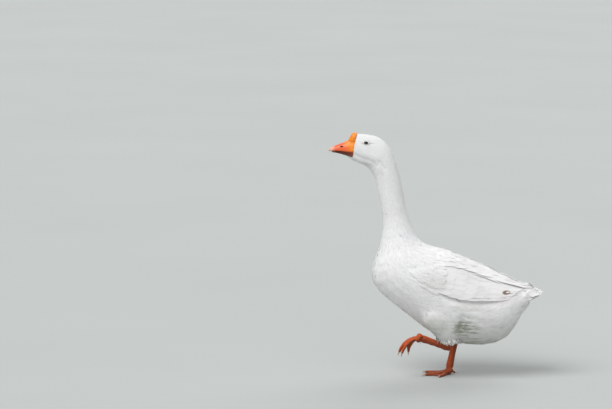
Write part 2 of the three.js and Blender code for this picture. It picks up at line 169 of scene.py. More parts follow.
# ---------------------------------------------------------------- settings
def paint(name, description, default):
    return FloatVectorProperty(name=name, description=description, subtype="COLOR", size=3, default=default)


class GooseCoat(bpy.types.PropertyGroup):
    """Sizes of the plumage."""

    length: FloatProperty(
        name="Length", description="Scale of the feathers' length", default=1.0, min=0.5, max=1.5
    )
    width: FloatProperty(
        name="Width", description="Scale of the feathers' width", default=1.0, min=0.5, max=1.5
    )
    layers: FloatProperty(
        name="Layers", description="Feathers that lie over each point", default=7.5, min=2, max=8
    )
    ruffle: FloatProperty(name="Ruffle", description="How far feathers turn from their flow", default=0.10)
    voxel: FloatProperty(
        name="Skin detail", description="Face size of the skin", default=0.0034, unit="LENGTH", precision=4
    )
    seed: IntProperty(name="Seed", description="Seed of the random placing", default=11)


class GooseColours(bpy.types.PropertyGroup):
    """Colours of the goose, linear."""

    plumage: paint("Plumage", "Clean feathers", (0.86, 0.855, 0.85))
    blush: paint("Blush", "Duller tint of the wings", (0.70, 0.655, 0.645))
    # This colour is dirt, and also painted shade: low on the body, on the thigh, below the tail, jaw and
    # wing, and on the shoulder.
    soil_and_shade_tone: paint("Soil and shade", "Dirt on the flank and belly, and painted shade", (0.20, 0.215, 0.145))
    knob: paint("Knob", "Knob and bill base", (0.93, 0.27, 0.008))
    bill: paint("Bill", "Middle of the bill", (0.84, 0.125, 0.03))
    nail: paint("Nail", "Tip of the bill", (0.82, 0.46, 0.34))
    # Painted shade: the lower bill in shadow, and the mouth line.
    mouth_shade: paint("Mouth shade", "Lower bill", (0.10, 0.014, 0.004))
    leg: paint("Leg", "Skin of the legs", (0.47, 0.078, 0.016))
    iris: paint("Iris", "Iris of the eyes", (0.016, 0.007, 0.004))


class GooseStage(bpy.types.PropertyGroup):
    """Camera and light."""

    lens: FloatProperty(name="Lens", description="Focal length", default=150, unit="CAMERA")
    elevation: FloatProperty(
        name="Elevation", description="Height angle of the camera", default=math.radians(9), subtype="ANGLE"
    )
    distance: FloatProperty(name="Distance", description="Camera to goose", default=7.65, unit="LENGTH")
    lead: FloatProperty(
        name="Lead", description="How far ahead of the goose it aims", default=0.387, unit="LENGTH"
    )
    room: FloatProperty(
        name="Headroom", description="How far above the middle it aims", default=0.1506, unit="LENGTH"
    )


def settings():
    return bpy.context.scene.goose_coat


def colours():
    return bpy.context.scene.goose_colours


# ---------------------------------------------------------------- mesh helpers
def new_object(name, mesh):
    obj = bpy.data.objects.new(name, mesh)
    bpy.context.scene.collection.objects.link(obj)
    return obj


def from_bmesh(name, bm):
    mesh = bpy.data.meshes.new(name)
    bm.to_mesh(mesh)
    bm.free()
    return new_object(name, mesh)


def finish_piece(obj, slot, *nodes):
    """Rides the piece on the goose and hides the CAD nodes it replaces; the slot is not used."""
    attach(obj, "root")
    if nodes:
        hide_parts(*nodes)


def shade_smooth(obj, angle=math.radians(180)):
    obj.data.shade_smooth()
    if angle < math.pi:
        obj.data.set_sharp_from_angle(angle=angle)


def cad_copy(name, nodes, swell=0.0):
    """Merged copies of CAD nodes in one object, each swollen a little so that their gaps close."""
    whole = bmesh.new()
    for node in nodes:
        bm = bmesh.new()
        bm.from_mesh(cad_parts[node].data)
        bmesh.ops.remove_doubles(bm, verts=bm.verts, dist=1e-5)
        bm.normal_update()
        moved = [(v, v.co + v.normal * swell) for v in bm.verts]
        for v, place in moved:
            v.co = place
        mesh = bpy.data.meshes.new("part")
        bm.to_mesh(mesh)
        bm.free()
        whole.from_mesh(mesh)
        bpy.data.meshes.remove(mesh)
    return from_bmesh(name, whole)


def apply_modifiers(obj):
    graph = bpy.context.evaluated_depsgraph_get()
    mesh = bpy.data.meshes.new_from_object(obj.evaluated_get(graph))
    old = obj.data
    obj.modifiers.clear()
    obj.data = mesh
    bpy.data.meshes.remove(old)


def remesh(obj, voxel, smooth):
    """Rebuilds the object's surface with even faces, then evens it out."""
    modifier = obj.modifiers.new("Voxel", "REMESH")
    modifier.mode = "VOXEL"
    modifier.voxel_size = voxel
    apply_modifiers(obj)
    soften(obj, smooth)


def soften(obj, repeats, weights=None):
    """Evens out the surface, everywhere or where the weights say so."""
    modifier = obj.modifiers.new("Smooth", "SMOOTH")
    modifier.factor = 0.5
    modifier.iterations = repeats
    if weights is not None:
        group = obj.vertex_groups.new(name="soft")
        for i in np.flatnonzero(weights > 0.01):
            group.add([int(i)], float(weights[i]), "REPLACE")
        modifier.vertex_group = group.name
    apply_modifiers(obj)
    obj.vertex_groups.clear()


def get_vectors(collection, name, size=3):
    values = np.empty(len(collection) * size, dtype=np.float32)
    collection.foreach_get(name, values)
    return values.reshape(-1, size).astype(float)


def vertex_places(mesh):
    return get_vectors(mesh.vertices, "co")


def set_places(mesh, places):
    mesh.vertices.foreach_set("co", np.asarray(places, dtype=np.float32).ravel())
    mesh.update()


def add_float(mesh, name, values):
    attribute = mesh.attributes.new(name, "FLOAT", "POINT")
    attribute.data.foreach_set("value", np.asarray(values, dtype=np.float32))


def unit(vectors):
    return vectors / np.maximum(np.linalg.norm(vectors, axis=-1, keepdims=True), 1e-12)


def smoothstep(low, high, value):
    t = np.clip((value - low) / (high - low), 0, 1)
    return t * t * (3 - 2 * t)


# ---------------------------------------------------------------- the lie of the coat
def spine_weights(points):
    """How much each place of the middle line counts at drawing points."""
    gaps = ((points[:, None, 1:3] - SPINE[None, :, 0:2]) ** 2).sum(-1) + (points[:, None, 0] * 0.6) ** 2
    weights = 1 / (gaps + 60) ** 2.2
    weights /= weights.sum(1, keepdims=True)
    return weights


def mirrored(points):
    """The points, those on the right side moved over to the left."""
    left = points.copy()
    left[:, 0] = np.abs(left[:, 0])
    return left


def line_gap(points, line):
    """How far points lie from a line of places, and the direction of its stretch nearest to each."""
    gap = np.full(len(points), 1e9)
    lean = np.zeros((len(points), 3))
    for start, step in zip(line, np.diff(line, axis=0)):
        share = np.clip(((points - start) @ step) / (step @ step), 0, 1)
        off = np.linalg.norm(points - start - share[:, None] * step, axis=1)
        nearer = off < gap
        gap[nearer] = off[nearer]
        lean[nearer] = step / np.linalg.norm(step)
    return gap, lean


def thigh_share(points):
    """How much a drawing point belongs to a thigh, and the thigh's direction there."""
    left = mirrored(points)
    gap, lean = line_gap(left, THIGH_LINE)
    lean[:, 0] *= np.sign(points[:, 0])
    near = smoothstep(66, 42, gap) * smoothstep(230, 175, points[:, 2]) * smoothstep(28, 50, left[:, 0])
    return near, lean


def thigh_border(points):
    """1 round the edge of a thigh where it swells out of the flank, 0 elsewhere."""
    gap, _ = line_gap(mirrored(points), THIGH_LINE)
    return smoothstep(16, 38, gap) * smoothstep(92, 62, gap) * smoothstep(108, 128, points[:, 2])


def from_eye(points):
    """The direction from the nearer eye, seen from the side, and how far off the eye's middle is."""
    away = np.zeros((len(points), 3))
    away[:, 1:] = points[:, 1:] - EYE
    gap = np.hypot(away[:, 1], away[:, 2]) + np.abs(np.abs(points[:, 0]) - 22) * 0.5
    return unit(away), gap


def lie_of_coat(places, normals):
    """The direction, along the skin, in which feathers lie at model points."""
    points = unplaced(places)
    weights = spine_weights(points)
    steps = np.diff(SPINE[:, 0:2], axis=0)
    steps = unit(np.vstack((steps, steps[-1:])))
    flow = np.zeros((len(points), 3))
    flow[:, 1:3] = weights @ steps
    near, lean = thigh_share(points)
    flow = flow * (1 - near[:, None]) + lean * near[:, None]
    away, gap = from_eye(points)
    flow += away * (1.3 * smoothstep(15, 7, gap))[:, None]
    flow -= normals * (flow * normals).sum(1, keepdims=True)
    return unit(flow)


def coat_plan(places, normals):
    """Feather length and width and coat depth, in metres, at model points."""
    points = unplaced(places)
    weights = spine_weights(points)
    station = weights @ np.arange(len(SPINE))
    plan = weights @ SPINE[:, 2:5]
    on_back = smoothstep(0.25, 0.8, normals[:, 2]) * smoothstep(8, 10, station)
    plan[:, 0] *= 1 + 0.45 * on_back
    plan[:, 1] *= 1 + 0.75 * on_back
    near, _ = thigh_share(points)
    thigh = np.array(THIGH_FEATHER) * np.stack([np.interp(points[:, 2], (98, 150), (0.6, 1.0))] * 3, axis=1)
    plan = plan * (1 - near[:, None]) + thigh * near[:, None]
    _, gap = from_eye(points)
    plan[:, :2] *= (0.42 + 0.58 * smoothstep(8, 17, gap))[:, None]
    return plan * MM, station


# ---------------------------------------------------------------- the skin
def inner_depths(obj, depth):
    """The coat's depth at each vertex, less where the body is thin there."""
    mesh = obj.data
    tree = BVHTree.FromPolygons([v.co for v in mesh.vertices], [p.vertices for p in mesh.polygons])
    normals = get_vectors(mesh.vertex_normals, "vector")
    for i, vertex in enumerate(mesh.vertices):
        inward = Vector(-normals[i])
        hit = tree.ray_cast(vertex.co + inward * 1e-4, inward, 0.06)
        if hit[0] is not None:
            depth[i] = min(depth[i], hit[3] * THIN_SHARE)
    return depth


def fold_depths(places):
    """How far the skin's creases go in at each place, in metres."""
    points = unplaced(places)
    total = np.zeros(len(points))
    for line, reach, depth, both in FOLDS:
        gap, _ = line_gap(mirrored(points) if both else points, np.array(line, float))
        total += depth * np.exp(-((gap / reach) ** 2))
    return total * MM


def under_wing_depths(places):
    """The hollow that each wing's lower edge shades, in metres."""
    total = np.zeros(len(places))
    for _, sign in SIDES:
        wing = wing_frame(sign)
        share, angle, radius = wing.find(places)
        low = np.interp(share, wing.shares, wing.lows)
        gap = (angle - low) * radius / MM
        along = smoothstep(0.05, 0.22, share) * smoothstep(0.80, 0.50, share)
        mine = places[:, 0] * sign > 0
        total += mine * along * UNDER_WING * smoothstep(-6, 1, gap) * smoothstep(22, 6, gap)
    return total * MM


def eye_round(side):
    """The middle and the radius of an eye."""
    low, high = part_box(f"eye_{side}")
    return (low + high) / 2, (high.x - low.x) / 2


def build_body_skin():
    """The body under the feathers: the CAD flesh as one surface, drawn in by the coat's depth."""
    body = cad_copy("skin", BODY_NODES, swell=BODY_SWELL)
    # Balls close the eyes' sockets behind the eyeballs.
    plugs = bmesh.new()
    for side, sign in SIDES:
        place = Matrix.Translation(eye_round(side)[0] - Vector((sign * PLUG_INSET, 0, 0)))
        bmesh.ops.create_uvsphere(plugs, u_segments=20, v_segments=12, radius=PLUG_RADIUS, matrix=place)
    body = join([body, from_bmesh("plug", plugs)])
    remesh(body, settings().voxel, smooth=BODY_EVEN)
    soften(body, THIGH_EVEN, thigh_border(unplaced(vertex_places(body.data))))
    mesh = body.data
    places = vertex_places(mesh)
    points = unplaced(places)
    # The fan of the tail is all feathers, so the flesh ends before it.
    beyond = np.clip(points[:, 1] - RUMP_END, 0, None)
    points[:, 1] -= beyond * TAIL_DRAWN_IN
    limit = np.interp(points[:, 1], *TAIL_CONE)
    wide = np.abs(points[:, 0])
    points[:, 0] *= np.where(beyond > 0, np.minimum(1, limit / np.maximum(wide, 1)), 1)
    places = placed(points)
    set_places(mesh, places)
    normals = get_vectors(mesh.vertex_normals, "vector")
    depth = coat_plan(places, normals)[0][:, 2]
    wing = wing_cover(places, normals)
    depth = depth * (1 - wing) + WING_DEPTH * MM * wing
    depth = inner_depths(body, depth) + fold_depths(places) + under_wing_depths(places)
    set_places(mesh, places - normals * depth[:, None])
    soften(body, 2)
    add_float(body.data, "scaly", np.zeros(len(body.data.vertices)))
    add_float(body.data, "plates", np.zeros(len(body.data.vertices)))
    return body


@lru_cache(maxsize=None)
def outline_tree(*names):
    """The CAD surface of some nodes, on which the long feathers lie."""
    verts, faces = [], []
    for name in names:
        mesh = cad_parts[name].data
        start = len(verts)
        verts += [v.co.copy() for v in mesh.vertices]
        faces += [tuple(start + i for i in p.vertices) for p in mesh.polygons]
    return BVHTree.FromPolygons(verts, faces)


def wing_cover(places, normals, reach=0.016):
    """1 where a wing lies at or over a place, 0 elsewhere."""
    tree = outline_tree("wing_left", "wing_right")
    cover = np.zeros(len(places))
    for i, (place, normal) in enumerate(zip(places, normals)):
        start = Vector(place) - Vector(normal) * 0.002
        if tree.ray_cast(start, Vector(normal), reach)[0] is not None:
            cover[i] = 1
        elif tree.find_nearest(Vector(place), 0.0016)[0] is not None:
            cover[i] = 1
    return cover


def join(objects):
    with bpy.context.temp_override(active_object=objects[0], selected_editable_objects=objects):
        bpy.ops.object.join()
    return objects[0]


def build_leg_skin(side):
    """A bare leg: shank and foot, with rings of scutes across the toes and down the shank."""
    leg = cad_copy(f"leg_{side}", (f"shank_{side}", f"foot_{side}"), swell=LEG_SWELL)
    remesh(leg, LEG_VOXEL, smooth=3)
    mesh = leg.data
    places = vertex_places(mesh)
    normals = get_vectors(mesh.vertex_normals, "vector")
    joint = foot_joint(side)
    gaps = np.linalg.norm(places - joint, axis=1)
    # Scutes: rounded steps at even distances from the toe joint, on the upper side.
    ripple = np.abs(np.sin(gaps / SCUTE * math.pi))
    upper = smoothstep(-0.1, 0.5, normals[:, 2] - 0.5 * normals[:, 1])
    rise = 0.0003 - LEG_SWELL + 0.0004 * (ripple**0.6 - 0.6) * upper
    # Pads swell under the toes.
    under = smoothstep(0.2, 0.8, -normals[:, 2])
    rise += 0.0004 * under * np.sin(gaps / PAD * 2 * math.pi)
    places = places + normals * rise[:, None]
    if side == "right":
        places[:, 2] = np.maximum(places[:, 2], 0)
    set_places(mesh, places)
    add_float(mesh, "scaly", np.ones(len(mesh.vertices)))
    add_float(mesh, "plates", upper)
    return leg


def foot_joint(side):
    """Where the toes meet, at the lower end of the shank."""
    low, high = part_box(f"shank_{side}")
    foot_low, foot_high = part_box(f"foot_{side}")
    foot = (foot_low + foot_high) / 2
    if side == "left":
        return np.array((foot.x, low.y - 0.004, high.z))
    return np.array((high.x - 0.006, low.y + 0.006, foot_high.z * 0.45))


def eyelids(side, sign):
    """A closed ring that hugs the eyeball and sinks into the skin of the head."""
    centre, radius = eye_round(side)
    bm = bmesh.new()
    loops = []
    for size, out in LID_RINGS:
        made = bmesh.ops.create_circle(bm, segments=40, radius=1)
        edges = list({e for v in made["verts"] for e in v.link_edges})
        for v in made["verts"]:
            angle = math.atan2(v.co.y, v.co.x)
            # The corners are drawn out a little, the front one further down.
            pinch = 1 + 0.12 * math.cos(angle) ** 8
            reach = LID_REACH * max(0.0, size - 1.1)
            y = math.cos(angle) * (LID_HALF[0] * size + reach) * pinch
            z = math.sin(angle) * (LID_HALF[1] * size + reach) - LID_TILT * y
            stand = math.sqrt(max(0.2, (radius / MM + 0.15) ** 2 - y * y - z * z)) if out is None else out
            v.co = centre + Vector((sign * stand, y, z)) * MM
        loops.append(edges)
    for first, second in zip(loops, loops[1:] + loops[:1]):
        bmesh.ops.bridge_loops(bm, edges=first + second)
    bmesh.ops.recalc_face_normals(bm, faces=bm.faces)
    bmesh.ops.subdivide_edges(bm, edges=bm.edges, cuts=1, smooth=0.4, use_grid_fill=True)
    lids = from_bmesh(f"lids_{side}", bm)
    points = (vertex_places(lids.data) - np.array(centre)) / MM
    size = np.hypot(points[:, 1] / LID_HALF[0], (points[:, 2] + LID_TILT * points[:, 1]) / LID_HALF[1])
    # The bare rim is the first few rings.
    add_float(lids.data, "scaly", 0.5 * smoothstep(1.20, 1.10, size))
    add_float(lids.data, "plates", np.zeros(len(points)))
    return lids


def unite(first, second):
    modifier = first.modifiers.new("Union", "BOOLEAN")
    modifier.operation = "UNION"
    modifier.solver = "MANIFOLD"
    modifier.object = second
    apply_modifiers(first)
    bpy.data.objects.remove(second)


def triangulate(obj):
    bm = bmesh.new()
    bm.from_mesh(obj.data)
    bmesh.ops.triangulate(bm, faces=bm.faces)
    bm.to_mesh(obj.data)
    bm.free()


def unwrap_skin(skin):
    """Lays the skin's own shape flat, in the map that the coat shares."""
    layer = skin.data.uv_layers.new(name="OFBake")
    skin.data.uv_layers.active = layer
    bpy.context.view_layer.objects.active = skin
    for obj in bpy.context.selected_objects:
        obj.select_set(False)
    skin.select_set(True)
    bpy.ops.object.mode_set(mode="EDIT")
    bpy.ops.mesh.select_all(action="SELECT")
    bpy.ops.uv.smart_project(angle_limit=math.radians(66), island_margin=0.001)
    bpy.ops.object.mode_set(mode="OBJECT")


# ---------------------------------------------------------------- node groups and materials
def new_group(name, inputs, outputs):
    group = bpy.data.node_groups.new(name, "ShaderNodeTree")
    for label, kind, default in inputs:
        group.interface.new_socket(name=label, in_out="INPUT", socket_type=kind).default_value = default
    for label, kind in outputs:
        group.interface.new_socket(name=label, in_out="OUTPUT", socket_type=kind)
    return group, group.nodes.new("NodeGroupInput"), group.nodes.new("NodeGroupOutput")


def node(tree, kind, values=(), **attributes):
    """A node with its settings, and with its sockets set or linked by name or number."""
    made = tree.nodes.new(kind)
    for name, value in attributes.items():
        setattr(made, name, value)
    for key, value in dict(values).items():
        socket = made.inputs[key]
        if isinstance(value, bpy.types.NodeSocket):
            tree.links.new(value, socket)
        else:
            socket.default_value = value
    return made


def mix_colour(tree, factor, first, second, blend="MIX"):
    made = node(tree, "ShaderNodeMix", data_type="RGBA", blend_type=blend, clamp_factor=True)
    for index, value in ((0, factor), (6, first), (7, second)):
        if isinstance(value, bpy.types.NodeSocket):
            tree.links.new(value, made.inputs[index])
        elif index == 0:
            made.inputs[index].default_value = value
        else:
            made.inputs[index].default_value = (*value[:3], 1)
    return made.outputs[2]


def math_node(tree, operation, *values, clamp=False):
    made = node(tree, "ShaderNodeMath", dict(enumerate(values)), operation=operation, use_clamp=clamp)
    return made.outputs[0]


def times(tree, first, second):
    return math_node(tree, "MULTIPLY", first, second)


def object_place(tree):
    return node(tree, "ShaderNodeTexCoord").outputs["Object"]


def split(tree, vector):
    """The x, y and z of a vector."""
    return node(tree, "ShaderNodeSeparateXYZ", {0: vector}).outputs[:]


def mirrored_place(tree, place):
    """A place, moved over to the left side if it is on the right."""
    x, y, z = split(tree, place)
    return node(tree, "ShaderNodeCombineXYZ", {0: math_node(tree, "ABSOLUTE", x), 1: y, 2: z}).outputs[0]


def noise(tree, vector, scale, detail):
    values = {"Vector": vector, "Scale": scale, "Detail": detail}
    return node(tree, "ShaderNodeTexNoise", values).outputs[0]


def mesh_value(tree, name):
    """The value that a mesh attribute holds."""
    return node(tree, "ShaderNodeAttribute", attribute_name=name).outputs["Fac"]


def add_bump(tree, shader, strength, distance, height):
    bump = node(tree, "ShaderNodeBump", {"Strength": strength, "Distance": distance, "Height": height})
    tree.links.new(bump.outputs[0], shader.inputs["Normal"])


def ramp(tree, value, start, end):
    """A smooth step from one stop to another, each a place and the value there."""
    made = node(tree, "ShaderNodeMapRange", {0: value}, interpolation_type="SMOOTHSTEP")
    made.inputs[1].default_value, made.inputs[3].default_value = start
    made.inputs[2].default_value, made.inputs[4].default_value = end
    return made.outputs[0]


def ball_mask(tree, vector, centre, radii, edge=(1.0, 0.2)):
    """A soft ball round a model point: 0 beyond the edge's first size, 1 within its second."""
    shift = node(tree, "ShaderNodeVectorMath", {0: vector, 1: tuple(-c for c in centre)}, operation="ADD")
    shrink = tuple(1 / r for r in radii)
    scale = node(tree, "ShaderNodeVectorMath", {0: shift.outputs[0], 1: shrink}, operation="MULTIPLY")
    size = node(tree, "ShaderNodeVectorMath", {0: scale.outputs[0]}, operation="LENGTH")
    return ramp(tree, size.outputs["Value"], (edge[1], 1), (edge[0], 0))


# Dirt and painted shade on both sides: a patch's middle and radii, then the stops of the noise that breaks it
# up. The first patch is dirt on the flank; the others are painted shade on the belly's underside, below the
# tail and on the thigh.
SOIL_AND_SHADE_PATCHES = (
    ((80, 48, 160), (0.09, 0.07, 0.055), (0.34, 0.22), (0.60, 0.90)),
    ((40, 85, 100), (0.13, 0.16, 0.06), (0.33, 0.30), (0.66, 0.68)),
    ((45, 190, 195), (0.05, 0.05, 0.045), (0.4, 0.0), (0.7, 0.25)),
    ((78, -34, 164), (0.06, 0.062, 0.058), (0.35, 0.42), (0.7, 0.62)),
)
# Painted shade below the jaw, below the wing and on the shoulder: middle, radii and strength.
SHADE_PATCHES = (
    ((22, -246, 640), (0.03, 0.036, 0.013), 0.24),
    ((95, 60, 226), (0.05, 0.08, 0.020), 0.24),
    ((90, -45, 300), (0.07, 0.075, 0.055), 0.15),
)
LOW_SOIL_AND_SHADE = ((105, 0.32), (230, 0.0))  # heights and how far the whole coat darkens there: painted shade and a painted green reflection of the ground, with some belly dirt
# A dark brown mark near the tip of the left wing: a broken ring, its clear middle and a thin line, each with
# its middle, its radii and the share of them that is solid.
WING_SPOT = (
    ((74, 169, 265), (0.04, 0.0150, 0.0078), 0.6),
    ((74, 173, 265.5), (0.04, 0.0070, 0.0030), 0.5),
    ((74, 180, 261), (0.04, 0.015, 0.0018), 0.4),
)
WING_SPOT_COLOUR = (0.16, 0.095, 0.055)
# Painted shade of the crease behind each eye:
EYE_CREASE_SHADE = (0.22, 0.21, 0.20)  # a thin grey line runs back from each eye
VANE_RIM = (0.62, 0.52, 0.47)


@lru_cache(maxsize=None)
def plumage_group():
    """White plumage with its warm tint on the wings, its soiling and its painted shade, for feathers and skin
    alike.
    """
    c = colours()
    group, entry, leave = new_group(
        "Plumage markings",
        [("Clean", "NodeSocketColor", (*c.plumage, 1)), ("Blush", "NodeSocketColor", (*c.blush, 1)),
         ("Soil and shade", "NodeSocketColor", (*c.soil_and_shade_tone, 1)), ("Tint", "NodeSocketFloat", 0.3)],
        [("Color", "NodeSocketColor")],
    )
    place = object_place(group)
    sides = mirrored_place(group, place)
    clouds = noise(group, place, 14, 3)
    streaks = node(group, "ShaderNodeMapping", {"Vector": place, "Scale": (60, 14, 60)}).outputs[0]
    fine = noise(group, streaks, 1.6, 4)
    tint = times(group, ramp(group, clouds, (0.35, 0.3), (0.7, 1)), entry.outputs["Tint"])
    colour = mix_colour(group, tint, entry.outputs["Clean"], entry.outputs["Blush"])
    # Darker and greener low on the body: painted shade and a painted green reflection of the ground, with
    # some belly dirt.
    soil_and_shade = ramp(group, split(group, place)[2], *((at(0, 0, z).z, amount) for z, amount in LOW_SOIL_AND_SHADE))
    # Dirt on the flank, and painted shade on the belly's underside, below the tail and on the thigh.
    for centre, radii, least, most in SOIL_AND_SHADE_PATCHES:
        patch = times(group, ball_mask(group, sides, at(*centre), radii), ramp(group, fine, least, most))
        soil_and_shade = math_node(group, "MAXIMUM", soil_and_shade, patch)
    # Painted shade below the jaw, below the wing and on the shoulder.
    for centre, radii, strength in SHADE_PATCHES:
        patch = times(group, ball_mask(group, sides, at(*centre), radii), strength)
        soil_and_shade = math_node(group, "MAXIMUM", soil_and_shade, patch)
    colour = mix_colour(group, soil_and_shade, colour, entry.outputs["Soil and shade"])
    ring, heart, line = (
        ball_mask(group, place, at(*spot), radii, edge=(1.0, solid)) for spot, radii, solid in WING_SPOT
    )
    broken = times(group, math_node(group, "SUBTRACT", ring, heart, clamp=True), 0.92)
    spotted = math_node(group, "MAXIMUM", broken, times(group, line, 0.8))
    colour = mix_colour(group, spotted, colour, WING_SPOT_COLOUR)
    # Painted shade of the crease that runs back from each eye.
    behind_eye = at(27, EYE[0] + 17, EYE[1] - 2)
    crease_shade = ball_mask(group, sides, behind_eye, (0.02, 0.012, 0.0016), edge=(1.0, 0.3))
    colour = mix_colour(group, times(group, crease_shade, 0.45), colour, EYE_CREASE_SHADE)
    group.links.new(colour, leave.inputs["Color"])
    return group


@lru_cache(maxsize=None)
def barb_group():
    """The shaft and barbs of a vane, read from its Vane map."""
    group, entry, leave = new_group(
        "Vane barbs",
        [("Barbs", "NodeSocketFloat", 26.0), ("Slant", "NodeSocketFloat", 5.0)],
        [("Height", "NodeSocketFloat"), ("Edge", "NodeSocketFloat")],
    )
    vane = node(group, "ShaderNodeUVMap", uv_map="Vane").outputs[0]
    across, along, _ = split(group, vane)
    side = math_node(group, "ABSOLUTE", math_node(group, "SUBTRACT", across, 0.5))
    barbs = times(group, along, entry.outputs["Barbs"])
    slanted = math_node(group, "SUBTRACT", barbs, times(group, side, entry.outputs["Slant"]))
    wave = math_node(group, "SINE", times(group, slanted, 2 * math.pi))
    shaft = ramp(group, side, (0.03, 1), (0.09, 0))
    height = math_node(group, "ADD", times(group, wave, 0.3), shaft)
    group.links.new(height, leave.inputs["Height"])
    group.links.new(side, leave.inputs["Edge"])
    return group


def new_material(name):
    material = bpy.data.materials.new(name)
    material.use_nodes = True
    tree = material.node_tree
    shader = tree.nodes["Principled BSDF"]
    return material, tree, shader


def use_group(tree, group, values):
    return node(tree, "ShaderNodeGroup", values, node_tree=group)


# Kinds of feathers: how much of the wings' tint they take, the number of their barbs, the
# barbs' slant and their height.
FINISHES = {
    "Head feathers": (0.12, 8, 2, 0.00012),
    "Neck feathers": (0.15, 10, 3, 0.00015),
    "Thigh feathers": (0.2, 16, 4, 0.0002),
    "Breast feathers": (0.2, 22, 5, 0.0002),
    "Belly feathers": (0.2, 22, 5, 0.0002),
    "Back feathers": (0.5, 26, 5, 0.0002),
    "Quill feathers": (0.5, 60, 7, 0.00025),
    "Covert feathers": (0.42, 34, 6, 0.0002),
}


@lru_cache(maxsize=None)
def feather_material(name):
    """Feathers: markings, a tone of their own, a faint shaft and fine barbs."""
    tint, barbs, slant, relief = FINISHES[name]
    material, tree, shader = new_material(name)
    marks = use_group(tree, plumage_group(), {"Tint": tint})
    vane = use_group(tree, barb_group(), {"Barbs": barbs, "Slant": slant})
    shade = ramp(tree, mesh_value(tree, "tone"), (0, 0.93), (1, 1.0))
    lit = node(tree, "ShaderNodeCombineColor", {0: shade, 1: shade, 2: shade}).outputs[0]
    colour = mix_colour(tree, 1.0, marks.outputs["Color"], lit, "MULTIPLY")
    rim = times(tree, ramp(tree, vane.outputs["Edge"], (0.36, 0), (0.5, 1)), tint * 0.25)
    colour = mix_colour(tree, rim, colour, VANE_RIM)
    tree.links.new(colour, shader.inputs["Base Color"])
    shader.inputs["Roughness"].default_value = 0.72
    shader.inputs["Specular IOR Level"].default_value = 0.25
    shader.inputs["Sheen Weight"].default_value = 0.12
    shader.inputs["Sheen Roughness"].default_value = 0.5
    add_bump(tree, shader, 0.35, relief, vane.outputs["Height"])
    return material


@lru_cache(maxsize=None)
def scale_group():
    """Small plates with furrows between them, for legs and for the bill's skin."""
    group, entry, leave = new_group(
        "Scale plates",
        [("Scale", "NodeSocketFloat", 320.0)],
        [("Height", "NodeSocketFloat"), ("Furrow", "NodeSocketFloat")],
    )
    values = {"Vector": object_place(group), "Scale": entry.outputs["Scale"]}
    cells = node(group, "ShaderNodeTexVoronoi", values, feature="DISTANCE_TO_EDGE").outputs[0]
    height = ramp(group, cells, (0.0, 0.0), (0.22, 1.0))
    furrow = ramp(group, cells, (0.0, 1.0), (0.12, 0.0))
    group.links.new(height, leave.inputs["Height"])
    group.links.new(furrow, leave.inputs["Furrow"])
    return group


# Linear tones of small places.
# Painted shade near the ground, on the standing foot:
GROUND_SHADE_TONE = (0.17, 0.05, 0.018)
# Mottling of the legs, also painted as shade on their undersides:
MOTTLE_AND_SHADE = (0.095, 0.022, 0.006)
FURROW = (0.16, 0.035, 0.012)
LID_RIM = (0.018, 0.010, 0.007)
LID_CORNER = (0.34, 0.15, 0.05)
# Painted shade inside each nostril's opening:
NOSTRIL_SHADE = (0.12, 0.004, 0.002)
PUPIL = (0.004, 0.003, 0.003)
EYE_EDGE = (0.008, 0.006, 0.005)
CLAW_TONES = ((0.36, 0.24, 0.17), (0.62, 0.47, 0.36))
FLOOR_TONES = ((0.43, 0.445, 0.43), (0.47, 0.485, 0.47))


def skin_material():
    """Pale skin under the plumage, lids, and the orange scaly skin of the legs, with painted shade on the
    legs' undersides and near the ground.
    """
    c = colours()
    material, tree, shader = new_material("Goose skin")
    place = object_place(tree)
    scaly = mesh_value(tree, "scaly")
    leg = ramp(tree, scaly, (0.6, 0), (0.9, 1))
    lid = ramp(tree, scaly, (0.2, 0), (0.45, 1))
    _, forward, height = split(tree, place)
    corner = ramp(tree, forward, (at(0, EYE[0] - 6.2, 0).y, 1), (at(0, EYE[0] - 4.4, 0).y, 0))
    marks = use_group(tree, plumage_group(), {"Tint": 0.2})
    plates = use_group(tree, scale_group(), {"Scale": 520.0})
    clouds = noise(tree, place, 40, 4)
    warm = mix_colour(tree, ramp(tree, clouds, (0.35, 0), (0.65, 1)), c.leg, [v * 1.25 for v in c.leg])
    # Painted shade: the standing foot darkens towards the ground.
    ground_shade = ramp(tree, height, (0.002, 0.45), (0.03, 0.0))
    warm = mix_colour(tree, ground_shade, warm, GROUND_SHADE_TONE)
    plated = mesh_value(tree, "plates")
    # Painted shade on the legs' undersides, away from the upper plates.
    below = times(tree, math_node(tree, "SUBTRACT", 1.0, plated), 0.62)
    mottle = times(tree, ramp(tree, clouds, (0.45, 0), (0.68, 1)), 0.35)
    warm = mix_colour(tree, math_node(tree, "MAXIMUM", below, mottle), warm, MOTTLE_AND_SHADE)
    grainy = math_node(tree, "SUBTRACT", 1.0, times(tree, plated, 0.75))
    furrow = times(tree, plates.outputs["Furrow"], times(tree, grainy, 0.4))
    warm = mix_colour(tree, furrow, warm, FURROW)
    rim = mix_colour(tree, corner, LID_RIM, LID_CORNER)
    colour = mix_colour(tree, lid, marks.outputs["Color"], rim)
    colour = mix_colour(tree, leg, colour, warm)
    tree.links.new(colour, shader.inputs["Base Color"])
    rough = math_node(tree, "SUBTRACT", 0.75, times(tree, leg, 0.27))
    tree.links.new(rough, shader.inputs["Roughness"])
    shader.inputs["Specular IOR Level"].default_value = 0.28
    relief = times(tree, plates.outputs["Height"], times(tree, leg, grainy))
    add_bump(tree, shader, 0.5, 0.0004, relief)
    return material


